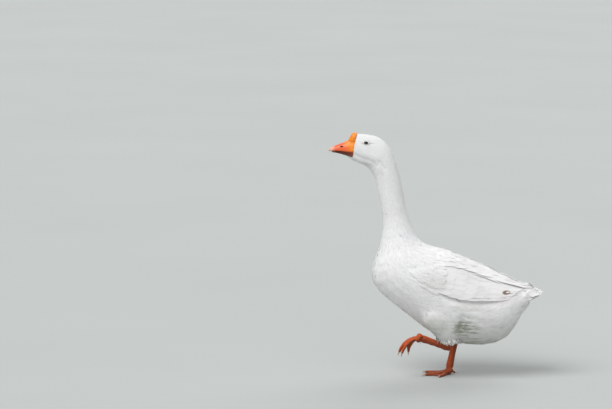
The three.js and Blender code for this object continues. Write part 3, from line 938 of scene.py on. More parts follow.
def bill_material(name, lower):
    """Horn of the bill: yellow-orange at the knob, coral in the middle, pale at the nail, with painted shade
    on the lower bill and along the mouth line.
    """
    c = colours()
    material, tree, shader = new_material(name)
    place = object_place(tree)
    _, y, z = split(tree, place)
    # How far back from the bill's tip, with a wandering border.
    from_tip = math_node(tree, "SUBTRACT", y, at(0, BILL_TIP_Y, 0).y)
    wander = times(tree, math_node(tree, "SUBTRACT", noise(tree, place, 70, 5), 0.5), 0.014)
    along = math_node(tree, "ADD", from_tip, wander)
    high = times(tree, math_node(tree, "SUBTRACT", z, at(0, 0, 690).z), 0.9)
    toward_knob = math_node(tree, "ADD", along, high)
    blotch = noise(tree, place, 160, 4)
    if lower:
        # Painted shade: the lower bill takes a darker copy of the nail and a dark shaded tone, and the bill's
        # own colour only at its rear.
        tip = [v * 0.55 for v in c.nail]
        colour = mix_colour(tree, ramp(tree, along, (0.004, 0), (0.022, 1)), tip, c.mouth_shade)
        colour = mix_colour(tree, ramp(tree, along, (0.058, 0), (0.08, 0.5)), colour, c.bill)
    else:
        colour = mix_colour(tree, ramp(tree, along, (0.006, 0), (0.022, 1)), c.nail, c.bill)
        colour = mix_colour(tree, ramp(tree, toward_knob, (0.040, 0), (0.072, 1)), colour, c.knob)
        # Painted shade of the mouth line along the upper bill's lower edge.
        edge = ramp(tree, z, (at(0, 0, 676).z, 0.75), (at(0, 0, 681).z, 0.0))
        colour = mix_colour(tree, edge, colour, c.mouth_shade)
        sides = mirrored_place(tree, place)
        # Painted shade in the nostril's opening.
        nostril_shade = ball_mask(tree, sides, at(*NOSTRIL), (0.007, 0.0064, 0.0030), edge=(1.0, 0.6))
        colour = mix_colour(tree, nostril_shade, colour, NOSTRIL_SHADE)
    colour = mix_colour(tree, ramp(tree, blotch, (0.5, 0), (0.8, 0.35)), colour, [v * 0.6 for v in c.bill])
    tree.links.new(colour, shader.inputs["Base Color"])
    shader.inputs["Roughness"].default_value = 0.42
    shader.inputs["Subsurface Weight"].default_value = 0.08
    shader.inputs["Subsurface Radius"].default_value = (0.004, 0.0015, 0.0008)
    shader.inputs["Coat Weight"].default_value = 0.12
    shader.inputs["Coat Roughness"].default_value = 0.3
    plates = use_group(tree, scale_group(), {"Scale": 700.0})
    pits = math_node(tree, "ADD", times(tree, plates.outputs["Height"], 0.3), blotch)
    add_bump(tree, shader, 0.3, 0.0004, pits)
    return material


def eye_material():
    """Near-black brown iris round a pupil, under a wet surface."""
    material, tree, shader = new_material("Goose eye")
    place = object_place(tree)
    _, y, z = split(tree, place)
    centre, _ = eye_round("left")
    dy = math_node(tree, "SUBTRACT", y, centre.y)
    dz = math_node(tree, "SUBTRACT", z, centre.z)
    squares = (math_node(tree, "POWER", dy, 2.0), math_node(tree, "POWER", dz, 2.0))
    off = math_node(tree, "SQRT", math_node(tree, "ADD", *squares))
    # Fibres run outwards from the pupil.
    angle = math_node(tree, "ARCTAN2", dz, dy)
    rays = node(tree, "ShaderNodeCombineXYZ", {0: times(tree, angle, 7.0), 1: times(tree, off, 300.0)})
    fibres = ramp(tree, noise(tree, rays.outputs[0], 1.5, 3), (0.3, 0), (0.7, 1))
    iris = mix_colour(tree, fibres, colours().iris, [v * 2.2 for v in colours().iris])
    colour = mix_colour(tree, ramp(tree, off, (0.0026, 0), (0.0031, 1)), PUPIL, iris)
    colour = mix_colour(tree, ramp(tree, off, (0.0050, 0), (0.0062, 1)), colour, EYE_EDGE)
    tree.links.new(colour, shader.inputs["Base Color"])
    shader.inputs["Roughness"].default_value = 0.12
    shader.inputs["Specular IOR Level"].default_value = 0.2
    shader.inputs["Coat Weight"].default_value = 0.55
    shader.inputs["Coat Roughness"].default_value = 0.03
    return material


def claw_material():
    """Pale horn with streaks."""
    material, tree, shader = new_material("Goose claw")
    place = object_place(tree)
    streaks = node(tree, "ShaderNodeMapping", {"Vector": place, "Scale": (900, 120, 900)}).outputs[0]
    grain = noise(tree, streaks, 1.0, 3)
    colour = mix_colour(tree, ramp(tree, grain, (0.35, 0), (0.7, 1)), *CLAW_TONES)
    tree.links.new(colour, shader.inputs["Base Color"])
    shader.inputs["Roughness"].default_value = 0.38
    add_bump(tree, shader, 0.3, 0.0002, grain)
    return material


# ---------------------------------------------------------------- feathers
def round_tip(t):
    """Half width of a body feather along its length, widest past its middle."""
    rise = min(1.0, 0.25 + 0.75 * (t / 0.45) ** 0.8)
    return rise * math.sqrt(max(0.09, 1 - max(0.0, (t - 0.55) / 0.47) ** 2.2))


def tuft_tip(t):
    """Half width of a soft tuft, narrowing to a frayed end."""
    return min(1.0, 0.35 + 0.65 * (t / 0.35)) * (1 - 0.74 * max(0.0, (t - 0.45) / 0.55) ** 1.7)


def quill_tip(t):
    """Half width of a long wing or tail feather: parallel sides and a rounded end."""
    rise = min(1.0, 0.3 + 0.7 * (t / 0.25) ** 0.7)
    return rise * math.sqrt(max(0.03, 1 - max(0.0, (t - 0.86) / 0.145) ** 2.4))


def vane_template(columns, rows, outline, ragged, rng, shaft=0.0, bow=0.10):
    """A closed thin vane: x across from -1 to 1, y along from 0 to 1, z in thicknesses."""
    bm = bmesh.new()
    bmesh.ops.create_grid(bm, x_segments=columns, y_segments=rows, size=1)
    top = bm.faces[:]
    twin = bmesh.ops.duplicate(bm, geom=top + bm.edges[:] + bm.verts[:])
    below = [g for g in twin["geom"] if isinstance(g, bmesh.types.BMFace)]
    low_verts = {v for f in below for v in f.verts}
    bmesh.ops.reverse_faces(bm, faces=below)
    for v in bm.verts:
        inside = abs(v.co.x) < 0.999 and abs(v.co.y) < 0.999
        v.co.z = -1.0 if inside and v in low_verts else 0.0
        if inside and v not in low_verts and abs(v.co.x) < 1e-4:
            v.co.z = shaft
    bmesh.ops.remove_doubles(bm, verts=bm.verts, dist=1e-5)
    fray = {}
    for v in bm.verts:
        t = 1 - (0.5 - v.co.y / 2) ** 1.5
        key = (round(v.co.x, 3), round(v.co.y, 3))
        if key not in fray:
            fray[key] = rng.uniform(-1, 1)
        # Only the last row is frayed, by less than the row's own length, so that no face folds.
        at_tip = t > 0.999
        v.co.y = t - bow * t**4 * v.co.x**2 + (ragged * fray[key] if at_tip else 0)
        sway = (0.3 if at_tip else 0.1) * fray[key] * min(1, 12 * ragged) if abs(v.co.x) > 0.01 else 0
        v.co.x *= outline(t) * (1 + sway)
    bm.normal_update()
    if sum(f.normal.z * f.calc_area() for f in bm.faces if max(v.co.z for v in f.verts) >= 0) < 0:
        bmesh.ops.reverse_faces(bm, faces=bm.faces)
    bm.verts.index_update()
    corners = np.array([v.co[:] for v in bm.verts])
    faces = [[v.index for v in f.verts] for f in bm.faces]
    bm.free()
    return corners, faces


def vane_templates(amount, *shape, **more):
    """Some templates of one shape, each frayed in its own way."""
    return [vane_template(*shape, **more) for _ in range(amount)]


class Feathers:
    """Feathers of one kind, each a path over the skin, gathered as arrays."""

    def __init__(self, paths, sides, normals, widths, maps, tones, variants):
        self.paths, self.sides, self.normals = paths, sides, normals
        self.widths, self.maps, self.tones, self.variants = widths, maps, tones, variants

    def pick(self, chosen):
        return Feathers(*(part[chosen] for part in (
            self.paths, self.sides, self.normals, self.widths, self.maps, self.tones, self.variants)))


def join_vanes(name, templates, feathers, thickness, camber, finish, slot="plumage"):
    """One mesh of many vanes: each template bent along its feather's path."""
    places, loops, starts, vane_map, bake_map, tones = [], [], [], [], [], []
    count, loop_count = 0, 0
    for index, (corners, faces) in enumerate(templates):
        some = feathers.pick(feathers.variants == index)
        n, stations = some.paths.shape[:2]
        if not n:
            continue
        x, t, h = corners.T
        k = np.clip((t * (stations - 1)).astype(int), 0, stations - 2)
        f = (t * (stations - 1) - k)[None, :, None]
        spot = some.paths[:, k] * (1 - f) + some.paths[:, k + 1] * f
        side = some.sides[:, k] * (1 - f) + some.sides[:, k + 1] * f
        up = some.normals[:, k] * (1 - f) + some.normals[:, k + 1] * f
        half = some.widths[:, None] / 2
        rise = h[None] * thickness - camber * half * x[None] ** 2
        spot = spot + side * (x[None] * half)[:, :, None] + up * rise[:, :, None]
        size = len(corners)
        places.append(spot.reshape(-1, 3))
        flat = np.concatenate([np.array(face) for face in faces])
        lengths = np.array([len(face) for face in faces])
        firsts = np.concatenate(([0], np.cumsum(lengths)[:-1]))
        loops.append((flat[None] + count + np.arange(n)[:, None] * size).ravel())
        starts.append((firsts[None] + loop_count + np.arange(n)[:, None] * len(flat)).ravel())
        own = np.stack((x[flat] * 0.5 + 0.5, t[flat]), axis=1)
        vane_map.append(np.tile(own, (n, 1)))
        patch = (own - 0.5) * BAKE_PATCH
        bake_map.append((some.maps[:, None] + patch[None]).reshape(-1, 2))
        tones.append(np.repeat(some.tones, size))
        count += n * size
        loop_count += n * len(flat)
    mesh = bpy.data.meshes.new(name)
    places, loops, starts = np.concatenate(places), np.concatenate(loops), np.concatenate(starts)
    mesh.vertices.add(len(places))
    mesh.vertices.foreach_set("co", places.astype(np.float32).ravel())
    mesh.loops.add(len(loops))
    mesh.loops.foreach_set("vertex_index", loops.astype(np.int32))
    mesh.polygons.add(len(starts))
    mesh.polygons.foreach_set("loop_start", starts.astype(np.int32))
    mesh.update(calc_edges=True)
    for label, values in (("OFBake", bake_map), ("Vane", vane_map)):
        layer = mesh.uv_layers.new(name=label)
        layer.data.foreach_set("uv", np.concatenate(values).astype(np.float32).ravel())
    add_float(mesh, "tone", np.concatenate(tones))
    obj = new_object(name, mesh)
    shade_smooth(obj, math.radians(55))
    mesh.materials.append(feather_material(finish))
    finish_piece(obj, slot)


BODY_VARIANTS = 4  # templates of each kind of body feather
BODY_STATIONS = 6  # places along a body feather's path
TUFT_STATIONS = 5
ROOT_SPACING = 0.84  # of the mean size of a feather, where they lie in one layer
SCATTER_TRIES = 7  # random roots drawn for each that fits
BAKE_PATCH = 0.003  # how much of the shared map a feather takes


class Surface:
    """The finished skin, to place feathers on."""

    def __init__(self, obj):
        mesh = obj.data
        self.places = vertex_places(mesh)
        faces = [tuple(p.vertices) for p in mesh.polygons]
        self.tree = BVHTree.FromPolygons([Vector(p) for p in self.places], faces)
        vertex_normals = get_vectors(mesh.vertex_normals, "vector")
        self.normals = unit(np.array([vertex_normals[list(f)].mean(0) for f in faces]))
        self.centres = np.array([self.places[list(f)].mean(0) for f in faces])
        self.areas = np.empty(len(faces))
        mesh.polygons.foreach_get("area", self.areas)
        uv = get_vectors(mesh.uv_layers["OFBake"].data, "uv", 2)
        firsts = np.array([p.loop_start for p in mesh.polygons])
        self.maps = uv[firsts]
        scaly = np.empty(len(mesh.vertices), dtype=np.float32)
        mesh.attributes["scaly"].data.foreach_get("value", scaly)
        self.bare = np.array([scaly[f[0]] for f in faces]) > 0.25
        self.corners = np.array(faces)

    def snap(self, places):
        """The nearest points of the skin, with smooth normals and face numbers."""
        found = np.empty_like(places)
        faces = np.empty(len(places), dtype=int)
        for i, place in enumerate(places):
            spot, _, face, _ = self.tree.find_nearest(Vector(place))
            found[i] = spot
            faces[i] = face
        return found, self.normals[faces], faces


@lru_cache(maxsize=None)
def surface():
    return Surface(bpy.data.objects["skin"])


def scatter(rng, skin, keep, spacing):
    """Random roots on the kept faces, no nearer to each other than the spacing there."""
    faces = np.flatnonzero(keep)
    share = skin.areas[faces] / spacing[faces] ** 2
    amount = int(share.sum() * SCATTER_TRIES)
    chosen = faces[rng.choice(len(faces), amount, p=share / share.sum())]
    mix = rng.dirichlet((1, 1, 1), amount)
    places = (skin.places[skin.corners[chosen]] * mix[:, :, None]).sum(1)
    tree = kdtree.KDTree(amount)
    for i, place in enumerate(places):
        tree.insert(place, i)
    tree.balance()
    open_ = np.ones(amount, dtype=bool)
    kept = []
    for i in range(amount):
        if open_[i]:
            kept.append(i)
            for _, j, _ in tree.find_range(places[i], spacing[chosen[i]]):
                open_[j] = False
    return places[kept], chosen[kept]


def lay_feathers(rng, skin, roots, faces, lengths, widths, depths):
    """Traces each feather over the skin along the coat's flow, rising to the coat's depth."""
    n, stations = len(roots), BODY_STATIONS
    from_tip = smoothstep(TAIL_ROOTS, RUMP_END - 20, unplaced(roots)[:, 1])
    turn = rng.normal(0, settings().ruffle, n) * (0.35 + 0.65 * from_tip)
    lengths = lengths * (0.62 + 0.38 * from_tip)
    paths = np.empty((n, stations, 3))
    normals = np.empty((n, stations, 3))
    sides = np.empty((n, stations, 3))
    spot, normal = roots.copy(), skin.normals[faces].copy()
    for k in range(stations):
        flow = lie_of_coat(spot, normal)
        side = np.cross(flow, normal)
        flow = unit(flow * np.cos(turn)[:, None] + side * np.sin(turn)[:, None])
        t = k / (stations - 1)
        height = depths * (0.91 * min(1, t / 0.45) ** 0.7 + 0.09 * t)
        paths[:, k] = spot + normal * height[:, None]
        normals[:, k] = normal
        sides[:, k] = np.cross(flow, normal)
        if k < stations - 1:
            step = lengths / (stations - 1)
            ahead = spot + flow * step[:, None]
            found, fresh, _ = skin.snap(ahead)
            free = (np.linalg.norm(found - ahead, axis=1) > 0.5 * step)[:, None]
            spot = np.where(free, ahead, found)
            normal = np.where(free, normal, unit(normal * 0.35 + fresh * 0.65))
    tones = rng.uniform(0, 1, n)
    return Feathers(paths, sides, normals, widths, skin.maps[faces], tones, rng.integers(0, BODY_VARIANTS, n))


def tufts(name, roots, aims, length, width, lift, rng, finish, facing=None):
    """Loose tufts at chosen drawing points, each laid towards its own aim and curving down."""
    skin = surface()
    starts = np.array([at(*p) for p in roots])
    spots, normals, faces = skin.snap(starts)
    if facing is not None:
        spots, normals = starts, unit(np.array(facing, float))
    n, stations = len(roots), TUFT_STATIONS
    aims = unit(np.array(aims, float))
    lengths = length * MM * rng.uniform(0.75, 1.2, n)
    t = np.linspace(0, 1, stations)[None, :, None]
    out = np.sin(t * math.pi * 0.6) * lift * MM
    paths = spots[:, None] + aims[:, None] * t * lengths[:, None, None] + normals[:, None] * out
    along = unit(np.gradient(paths, axis=1))
    side = unit(np.cross(along, normals[:, None]))
    widths = width * MM * rng.uniform(0.8, 1.2, n)
    laid = Feathers(paths, side, np.cross(side, along), widths, skin.maps[faces],
                    rng.uniform(0, 1, n), rng.integers(0, BODY_VARIANTS, n))
    vanes = vane_templates(BODY_VARIANTS, 4, 5, tuft_tip, 0.06, rng)
    join_vanes(name, vanes, laid, 0.0003, 0.15, finish)


def cuff_tufts(side, sign):
    """The ragged fringe that hangs from the thigh over the hock."""
    rng = np.random.default_rng(settings().seed + (41 if sign > 0 else 42))
    cuff = CUFFS[side]
    roots, aims = [], []
    for turn in rng.uniform(0, 2 * math.pi, cuff["count"]):
        across, back = math.cos(turn) * cuff["radii"][0], math.sin(turn) * cuff["radii"][1]
        ring = np.array((across, back, back * cuff["slope"] + rng.uniform(0, 12)))
        roots.append(np.array(cuff["middle"]) + ring)
        spread = (0.25 * math.cos(turn), 0.25 * math.sin(turn), 0)
        aims.append(np.array(cuff["aim"]) + spread + rng.normal(0, 0.12, 3))
    tufts(f"tufts_{side}", roots, aims, 14, 5.5, 1.5, rng, "Thigh feathers")


# The chin's tongue of feathers: places along it, its half width and how deep it hangs there.
CHIN_COUNT = 520
CHIN_PLACES = (-309, -300, -292, -284)
CHIN_HALF = (1.5, 5.0, 8.5, 10.0)
CHIN_DEEP = (0.5, 5.0, 9.5, 11.0)


def chin_tufts():
    """The tongue of tiny feathers that runs forward below the lower bill."""
    rng = np.random.default_rng(settings().seed + 51)
    low = outline_tree("bill_lower")
    placed, aims, facing = [], [], []
    for y, turn in zip(rng.uniform(-309, -284, CHIN_COUNT), rng.uniform(-1.5, 1.5, CHIN_COUNT)):
        half, deep = (np.interp(y, CHIN_PLACES, sizes) for sizes in (CHIN_HALF, CHIN_DEEP))
        x = half * math.sin(turn)
        spot, _, _, _ = low.ray_cast(at(x, y, 600), Vector((0, 0, 1)))
        if spot is not None:
            placed.append(unplaced(spot) - (0, 0, deep * math.cos(turn)))
            aims.append((0.12 * x, 1, -0.45))
            facing.append((math.sin(turn) * 1.4, -0.15, -math.cos(turn)))
    tufts("tufts_chin", placed, aims, 5.5, 2.4, 0.2, rng, "Head feathers", facing)


# Where one kind of plumage gives way to the next, as places of the middle line.
HEAD_END = 2.6
NECK_END = 7.2
BREAST_END = 9.2
BACK_SLOPE = 0.15  # the skin's upward lean that parts the back from the belly


def body_feathers():
    """Every feather that follows the body: head, neck, breast, back, belly and thighs."""
    coat = settings()
    skin = surface()
    rng = np.random.default_rng(coat.seed)
    plan, station = coat_plan(skin.centres, skin.normals)
    points = unplaced(skin.centres)
    on_wing = wing_cover(skin.centres, skin.normals) > 0.5
    lid = np.hypot((points[:, 1] - EYE[0]) / LID_HALF[0], (points[:, 2] - EYE[1]) / LID_HALF[1])
    keep = ~skin.bare & (points[:, 1] < TAIL_ROOTS)
    keep &= ~((lid < LID_CLEAR) & (np.abs(points[:, 0]) > LID_SIDE))
    keep &= ~(on_wing & (wing_share(points) > SHOULDER_END))
    lengths, widths, depths = plan[:, 0] * coat.length, plan[:, 1] * coat.width, plan[:, 2]
    depths = np.where(on_wing, SHOULDER_DEPTH * MM, depths)
    spacing = ROOT_SPACING * np.sqrt(lengths * widths / coat.layers)
    roots, faces = scatter(rng, skin, keep, spacing)
    n = len(roots)
    lengths = lengths[faces] * rng.normal(1, 0.09, n)
    widths = widths[faces] * rng.normal(1, 0.08, n)
    depths = depths[faces] * rng.normal(1, 0.025, n)
    laid = lay_feathers(rng, skin, roots, faces, lengths, widths, depths)
    short = vane_templates(BODY_VARIANTS, 2, 3, tuft_tip, 0.06, rng)
    soft = vane_templates(BODY_VARIANTS, 2, 4, tuft_tip, 0.06, rng)
    loose = vane_templates(BODY_VARIANTS, 4, 5, tuft_tip, 0.045, rng)
    fine = vane_templates(BODY_VARIANTS, 4, 6, round_tip, 0.02, rng)
    where = station[faces]
    left = roots[:, 0] > 0
    leg = thigh_share(unplaced(roots))[0] > 0.5
    breast = ~leg & (where >= NECK_END) & (where < BREAST_END)
    rear = ~leg & (where >= BREAST_END)
    back = skin.normals[faces][:, 2] >= BACK_SLOPE
    groups = (
        ("head", ~leg & (where < HEAD_END), True, short, 0.00018, 0.10, "Head feathers"),
        ("neck", ~leg & (where >= HEAD_END) & (where < NECK_END), False, soft, 0.00022, 0.09,
         "Neck feathers"),
        ("thighs", leg, False, loose, 0.00024, 0.08, "Thigh feathers"),
        ("breast", breast, True, loose, 0.00024, 0.07, "Breast feathers"),
        ("back", rear & back, False, fine, 0.00026, 0.06, "Back feathers"),
        ("belly", rear & ~back, True, loose, 0.00024, 0.07, "Belly feathers"),
    )
    for name, chosen, halved, templates, thickness, camber, finish in groups:
        halves = (("_left", chosen & left), ("_right", chosen & ~left)) if halved else (("", chosen),)
        for ending, some in halves:
            join_vanes(f"feathers_{name}{ending}", templates, laid.pick(some), thickness, camber, finish)
    for side, sign in SIDES:
        cuff_tufts(side, sign)
    chin_tufts()


# ---------------------------------------------------------------- wings and tail
LONG_VARIANTS = 3  # templates of each kind of long feather
TAIL_QUILLS = 16
TAIL_STATIONS = 10  # places along a tail feather
TAIL_WIDTH = 0.026
TAIL_DROP = 14  # how far the fan's sides hang below its middle
CAST_FROM = 0.3  # how far out from the wings' axis their outline is looked for
WING_AXIS = ((-60, 300), (250, 256))  # y, z of a line through the trunk that the wings lie round


def wing_share(points):
    """How far back drawing points lie along the wings: 0 at the shoulder, 1 at the tips."""
    start, end = (np.array(p, dtype=float) for p in WING_AXIS)
    step = end - start
    return ((points[:, 1:3] - start) @ step) / (step @ step)


@lru_cache(maxsize=None)
def wing_frame(sign):
    return WingFrame(sign)


class WingFrame:
    """The folded wing's surface, by its share along the body and its share up from the lower edge."""

    def __init__(self, sign):
        self.sign = sign
        (y0, z0), (y1, z1) = WING_AXIS
        self.start, self.end = at(0, y0, z0), at(0, y1, z1)
        self.line = (self.end - self.start).normalized()
        self.up = Vector((1, 0, 0)).cross(self.line)
        if self.up.z < 0:
            self.up.negate()
        self.tree = outline_tree("wing_left" if sign > 0 else "wing_right", "trunk", "tail")
        self.shares, self.lows, self.highs = self.find_edges()

    def direction(self, angle):
        return self.up * math.cos(angle) + Vector((self.sign, 0, 0)) * math.sin(angle)

    def find(self, places):
        """Share along, angle from straight up and distance from the axis of model places."""
        arm = places - np.array(self.start)
        share = arm @ np.array(self.line) / (self.end - self.start).length
        angle = np.arctan2(arm[:, 0] * self.sign, arm @ np.array(self.up))
        return share, angle, np.hypot(arm[:, 0], arm @ np.array(self.up))

    def find_edges(self):
        tree = outline_tree("wing_left", "wing_right")
        shares, lows, highs = [], [], []
        for share in np.linspace(-0.3, 1.0, 40):
            origin = self.start.lerp(self.end, share)
            hits = []
            for degrees in range(2, 120, 2):
                out = self.direction(math.radians(degrees))
                if tree.ray_cast(origin + out * CAST_FROM, -out, 0.28)[0] is not None:
                    hits.append(math.radians(degrees))
            if len(hits) > 1:
                shares.append(share)
                lows.append(max(hits))
                highs.append(min(hits))
        width = np.ones(5) / 5
        lows, highs = (np.convolve(np.pad(v, 2, mode="edge"), width, mode="valid") for v in (lows, highs))
        return np.array(shares), lows, highs

    def place(self, share, rise):
        """The outline's point and outward direction at a share along and a rise up the wing."""
        low = np.interp(share, self.shares, self.lows)
        high = np.interp(share, self.shares, self.highs)
        out = self.direction(low + (high - low) * rise)
        origin = self.start.lerp(self.end, share)
        spot, normal, _, _ = self.tree.ray_cast(origin + out * CAST_FROM, -out, 0.3)
        if spot is None:
            spot, normal, _, _ = self.tree.find_nearest(origin + out * 0.05)
        return np.array(spot), np.array(normal)


# Rows of the folded wing: how many, the first and last root and the first and last tip,
# as shares back and up, then width, height over the outline at root and tip, and roll.
LOW_SINK = 0.7  # how much deeper the lowest feather of a row lies at its tip
QUILL_ROWS = (
    (6, ((0.34, 0.13), (0.38, 0.28)), ((0.94, 0.26), (1.02, 0.60)), 24, (-3.4, -2.2), 3),
    (9, ((0.33, 0.12), (0.38, 0.58)), ((0.84, 0.17), (0.93, 0.48)), 30, (-3.1, -1.6), 2),
)
# The broad inner feathers bend over the wing's ridge.
TERTIAL_ROWS = (
    (9, ((0.36, 0.54), (0.34, 0.97)), ((0.90, 0.42), (0.99, 0.86)), 34, (-3.0, -1.0), 0),
)
COVERT_ROWS = (
    (23, ((0.24, 0.10), (0.28, 1.00)), ((0.58, 0.11), (0.62, 0.96)), 29, (-3.0, -1.6), 1),
    (24, ((0.16, 0.10), (0.19, 1.00)), ((0.46, 0.11), (0.50, 0.96)), 27, (-2.9, -1.4), 1),
    (26, ((0.08, 0.10), (0.11, 1.00)), ((0.34, 0.10), (0.37, 0.98)), 24, (-2.9, -1.2), 1),
    (28, ((0.01, 0.09), (0.03, 1.00)), ((0.23, 0.09), (0.26, 0.98)), 20, (-3.0, -1.0), 1),
)


def long_feather(skin, line, ups, width, roll=0.0):
    """A long feather along a line: its path, sides, normals, width and place in the map."""
    along = unit(np.gradient(line, axis=0))
    side = unit(np.cross(along, ups))
    up = np.cross(side, along)
    sides = side * math.cos(roll) + up * math.sin(roll)
    normals = up * math.cos(roll) - side * math.sin(roll)
    return line, sides, normals, width, skin.maps[skin.snap(line[:1])[2][0]]


def gathered(quills, rng):
    """Long feathers as one set."""
    n = len(quills)
    parts = (np.array(part) for part in zip(*quills))
    return Feathers(*parts, rng.uniform(0, 1, n), rng.integers(0, LONG_VARIANTS, n))


def smoothed(line):
    """Evens out a line between its ends."""
    line[1:-1] = (line[:-2] + line[1:-1] * 2 + line[2:]) / 4


def quill_rows(wing, rng, rows, stations):
    """Feathers of the folded wing from rows of root and tip places."""
    skin = surface()
    quills = []
    for count, root, tip, width, heights, roll in rows:
        for i in range(count):
            a = i / (count - 1)
            s0, v0 = np.array(root[0]) + (np.array(root[1]) - root[0]) * a
            s1, v1 = np.array(tip[0]) + (np.array(tip[1]) - tip[0]) * a + rng.normal(0, 0.006, 2)
            spots, ups = [], []
            for k in range(stations):
                t = k / (stations - 1)
                spot, up = wing.place(s0 + (s1 - s0) * t, v0 + (v1 - v0) * t**1.15)
                height = heights[0] + (heights[1] - heights[0] - LOW_SINK * (1 - a)) * min(1, t / 0.7)
                spots.append(spot + up * height * MM)
                ups.append(up)
            spots, ups = np.array(spots), np.array(ups)
            for _ in range(3):
                smoothed(spots)
                ups[1:-1] = unit(ups[:-2] + ups[1:-1] * 2 + ups[2:])
            lean = math.radians(roll) * wing.sign
            quills.append(long_feather(skin, spots, ups, width * MM * rng.normal(1, 0.04), lean))
    return gathered(quills, rng)


def wing_feathers(side, sign):
    """The rows of one folded wing."""
    rng = np.random.default_rng(settings().seed + (21 if sign > 0 else 22))
    wing = wing_frame(sign)
    long_vanes = vane_templates(LONG_VARIANTS, 6, 14, quill_tip, 0.012, rng, shaft=1.2)
    short_vanes = vane_templates(LONG_VARIANTS, 6, 8, round_tip, 0.02, rng, shaft=0.6)
    for name, vanes, rows, stations, thickness, camber, finish in (
        ("quills", long_vanes, QUILL_ROWS, 12, 0.0004, 0.09, "Quill feathers"),
        ("tertials", long_vanes, TERTIAL_ROWS, 12, 0.0004, 0.25, "Quill feathers"),
        ("coverts", short_vanes, COVERT_ROWS, 9, 0.0003, 0.08, "Covert feathers"),
    ):
        laid = quill_rows(wing, rng, rows, stations)
        join_vanes(f"{name}_{side}", vanes, laid, thickness, camber, finish, "flight_feathers")


def under_tail(rng):
    """Soft coverts that wrap the root of the tail from below and run back to its tip."""
    roots, aims = [], []
    for y in np.linspace(206, 250, 12):
        half = np.interp(y, *TAIL_CONE)
        fall = 262 - (189 + (y - 207))
        for turn in np.radians(np.linspace(-105, 105, 17)) + rng.normal(0, 0.05, 17):
            z = 262 - fall * (0.5 + 0.5 * math.cos(turn))
            root = np.array((half * math.sin(turn), y + rng.normal(0, 2), z))
            roots.append(root)
            aims.append(np.array((root[0] * 0.55, 292, 270)) - root)
    tufts("tufts_tail", roots, aims, 30, 13, 0.5, rng, "Belly feathers")


def tail_feathers():
    """A shallow fan of tail feathers, the middle ones on top."""
    rng = np.random.default_rng(settings().seed + 31)
    skin = surface()
    tree = outline_tree("tail")
    quills = []
    for i in range(TAIL_QUILLS):
        a = 2 * i / (TAIL_QUILLS - 1) - 1
        root = np.array((24 * a, 196.0))
        tip = np.array((40 * math.sin(a * 1.35), 275 - 17 * abs(a) ** 2.4)) + rng.normal(0, (1.0, 2.2))
        up = Vector((0.55 * a, 0, 1)).normalized()
        line = []
        for t in np.arange(TAIL_STATIONS) / (TAIL_STATIONS - 1):
            x, y = root + (tip - root) * t
            spot, normal, _, _ = tree.ray_cast(at(x, y, 400), Vector((0, 0, -1)))
            if spot is None or normal.z < 0.2:
                spot, _, _, _ = tree.find_nearest(at(x, y, 262 - TAIL_DROP * (x / 59) ** 2))
            line.append(np.array(spot) - np.array(up) * (1.2 + 1.6 * abs(a)) * MM)
        line = np.array(line)
        for _ in range(4):
            smoothed(line)
        ups = np.array([up] * TAIL_STATIONS)
        quills.append(long_feather(skin, line, ups, TAIL_WIDTH * rng.normal(1, 0.04)))
    vanes = vane_templates(LONG_VARIANTS, 6, 14, quill_tip, 0.006, rng, shaft=1.2, bow=0.05)
    join_vanes("quills_tail", vanes, gathered(quills, rng), 0.0005, 0.05, "Quill feathers", "flight_feathers")
    under_tail(rng)


# ---------------------------------------------------------------- bill, eyes and claws
BILL_RIDGES = 26  # ridges along each edge of the lower bill


def bill_top():
    """Upper bill and knob as one horn, with a nail on the tip."""
    bill = cad_copy("bill_top", ("bill_upper", "knob"), swell=0.0002)
    remesh(bill, 0.0008, smooth=6)
    mesh = bill.data
    points = unplaced(vertex_places(mesh))
    normals = get_vectors(mesh.vertex_normals, "vector")
    # The knob's front grows a little before it is evened out.
    grow = 1.5 * smoothstep(700, 714, points[:, 2]) * smoothstep(0.5, -0.1, normals[:, 1])
    points = points + normals * grow[:, None]
    set_places(mesh, placed(points))
    x, y, z = np.abs(points[:, 0]), points[:, 1], points[:, 2]
    front = smoothstep(9, 5, np.abs((y + 303) * 0.6)) * smoothstep(14, 8, np.abs(z - 709))
    side = smoothstep(12, 7, np.abs(z - 706)) * smoothstep(-278, -284, y) * smoothstep(5, 9, x)
    soften(bill, 20, np.clip(front + side, 0, 1))
    mesh = bill.data
    points = unplaced(vertex_places(mesh))
    normals = get_vectors(mesh.vertex_normals, "vector")
    # The nail: a shallow shield on the tip, with a groove behind it.
    nail = smoothstep(-345, -351, points[:, 1]) * smoothstep(9, 7.4, np.abs(points[:, 0]))
    groove = np.exp(-((points[:, 1] + 346) / 1.3) ** 2) * smoothstep(0.0, 0.4, normals[:, 2])
    rise = 0.5 * nail * smoothstep(-0.2, 0.5, normals[:, 2]) - 0.35 * groove
    set_places(mesh, placed(points + normals * rise[:, None]))
    shade_smooth(bill)
    mesh.materials.append(bill_material("Bill horn", lower=False))
    finish_piece(bill, "bill", "bill_upper", "knob")


def bill_bottom():
    """Lower bill with the small upright ridges along its edges."""
    bill = cad_copy("bill_bottom", ("bill_lower",), swell=0.0)
    remesh(bill, 0.0007, smooth=3)
    ridges = bmesh.new()
    for sign in (1, -1):
        lean = Matrix.Rotation(math.radians(14 * sign), 4, "Y")
        for i in range(BILL_RIDGES):
            t = i / (BILL_RIDGES - 1)
            spot = at(sign * (15.6 - 7.6 * t**1.25), -288 - 56 * t, 671.6 + 4.2 * t)
            bmesh.ops.create_cone(
                ridges, cap_ends=True, segments=8, radius1=0.0008, radius2=0.00035, depth=0.0042,
                matrix=Matrix.Translation(spot) @ lean,
            )
    join([bill, from_bmesh("ridges", ridges)])
    shade_smooth(bill, math.radians(50))
    bill.data.materials.append(bill_material("Lower bill horn", lower=True))
    finish_piece(bill, "lower_bill", "bill_lower")


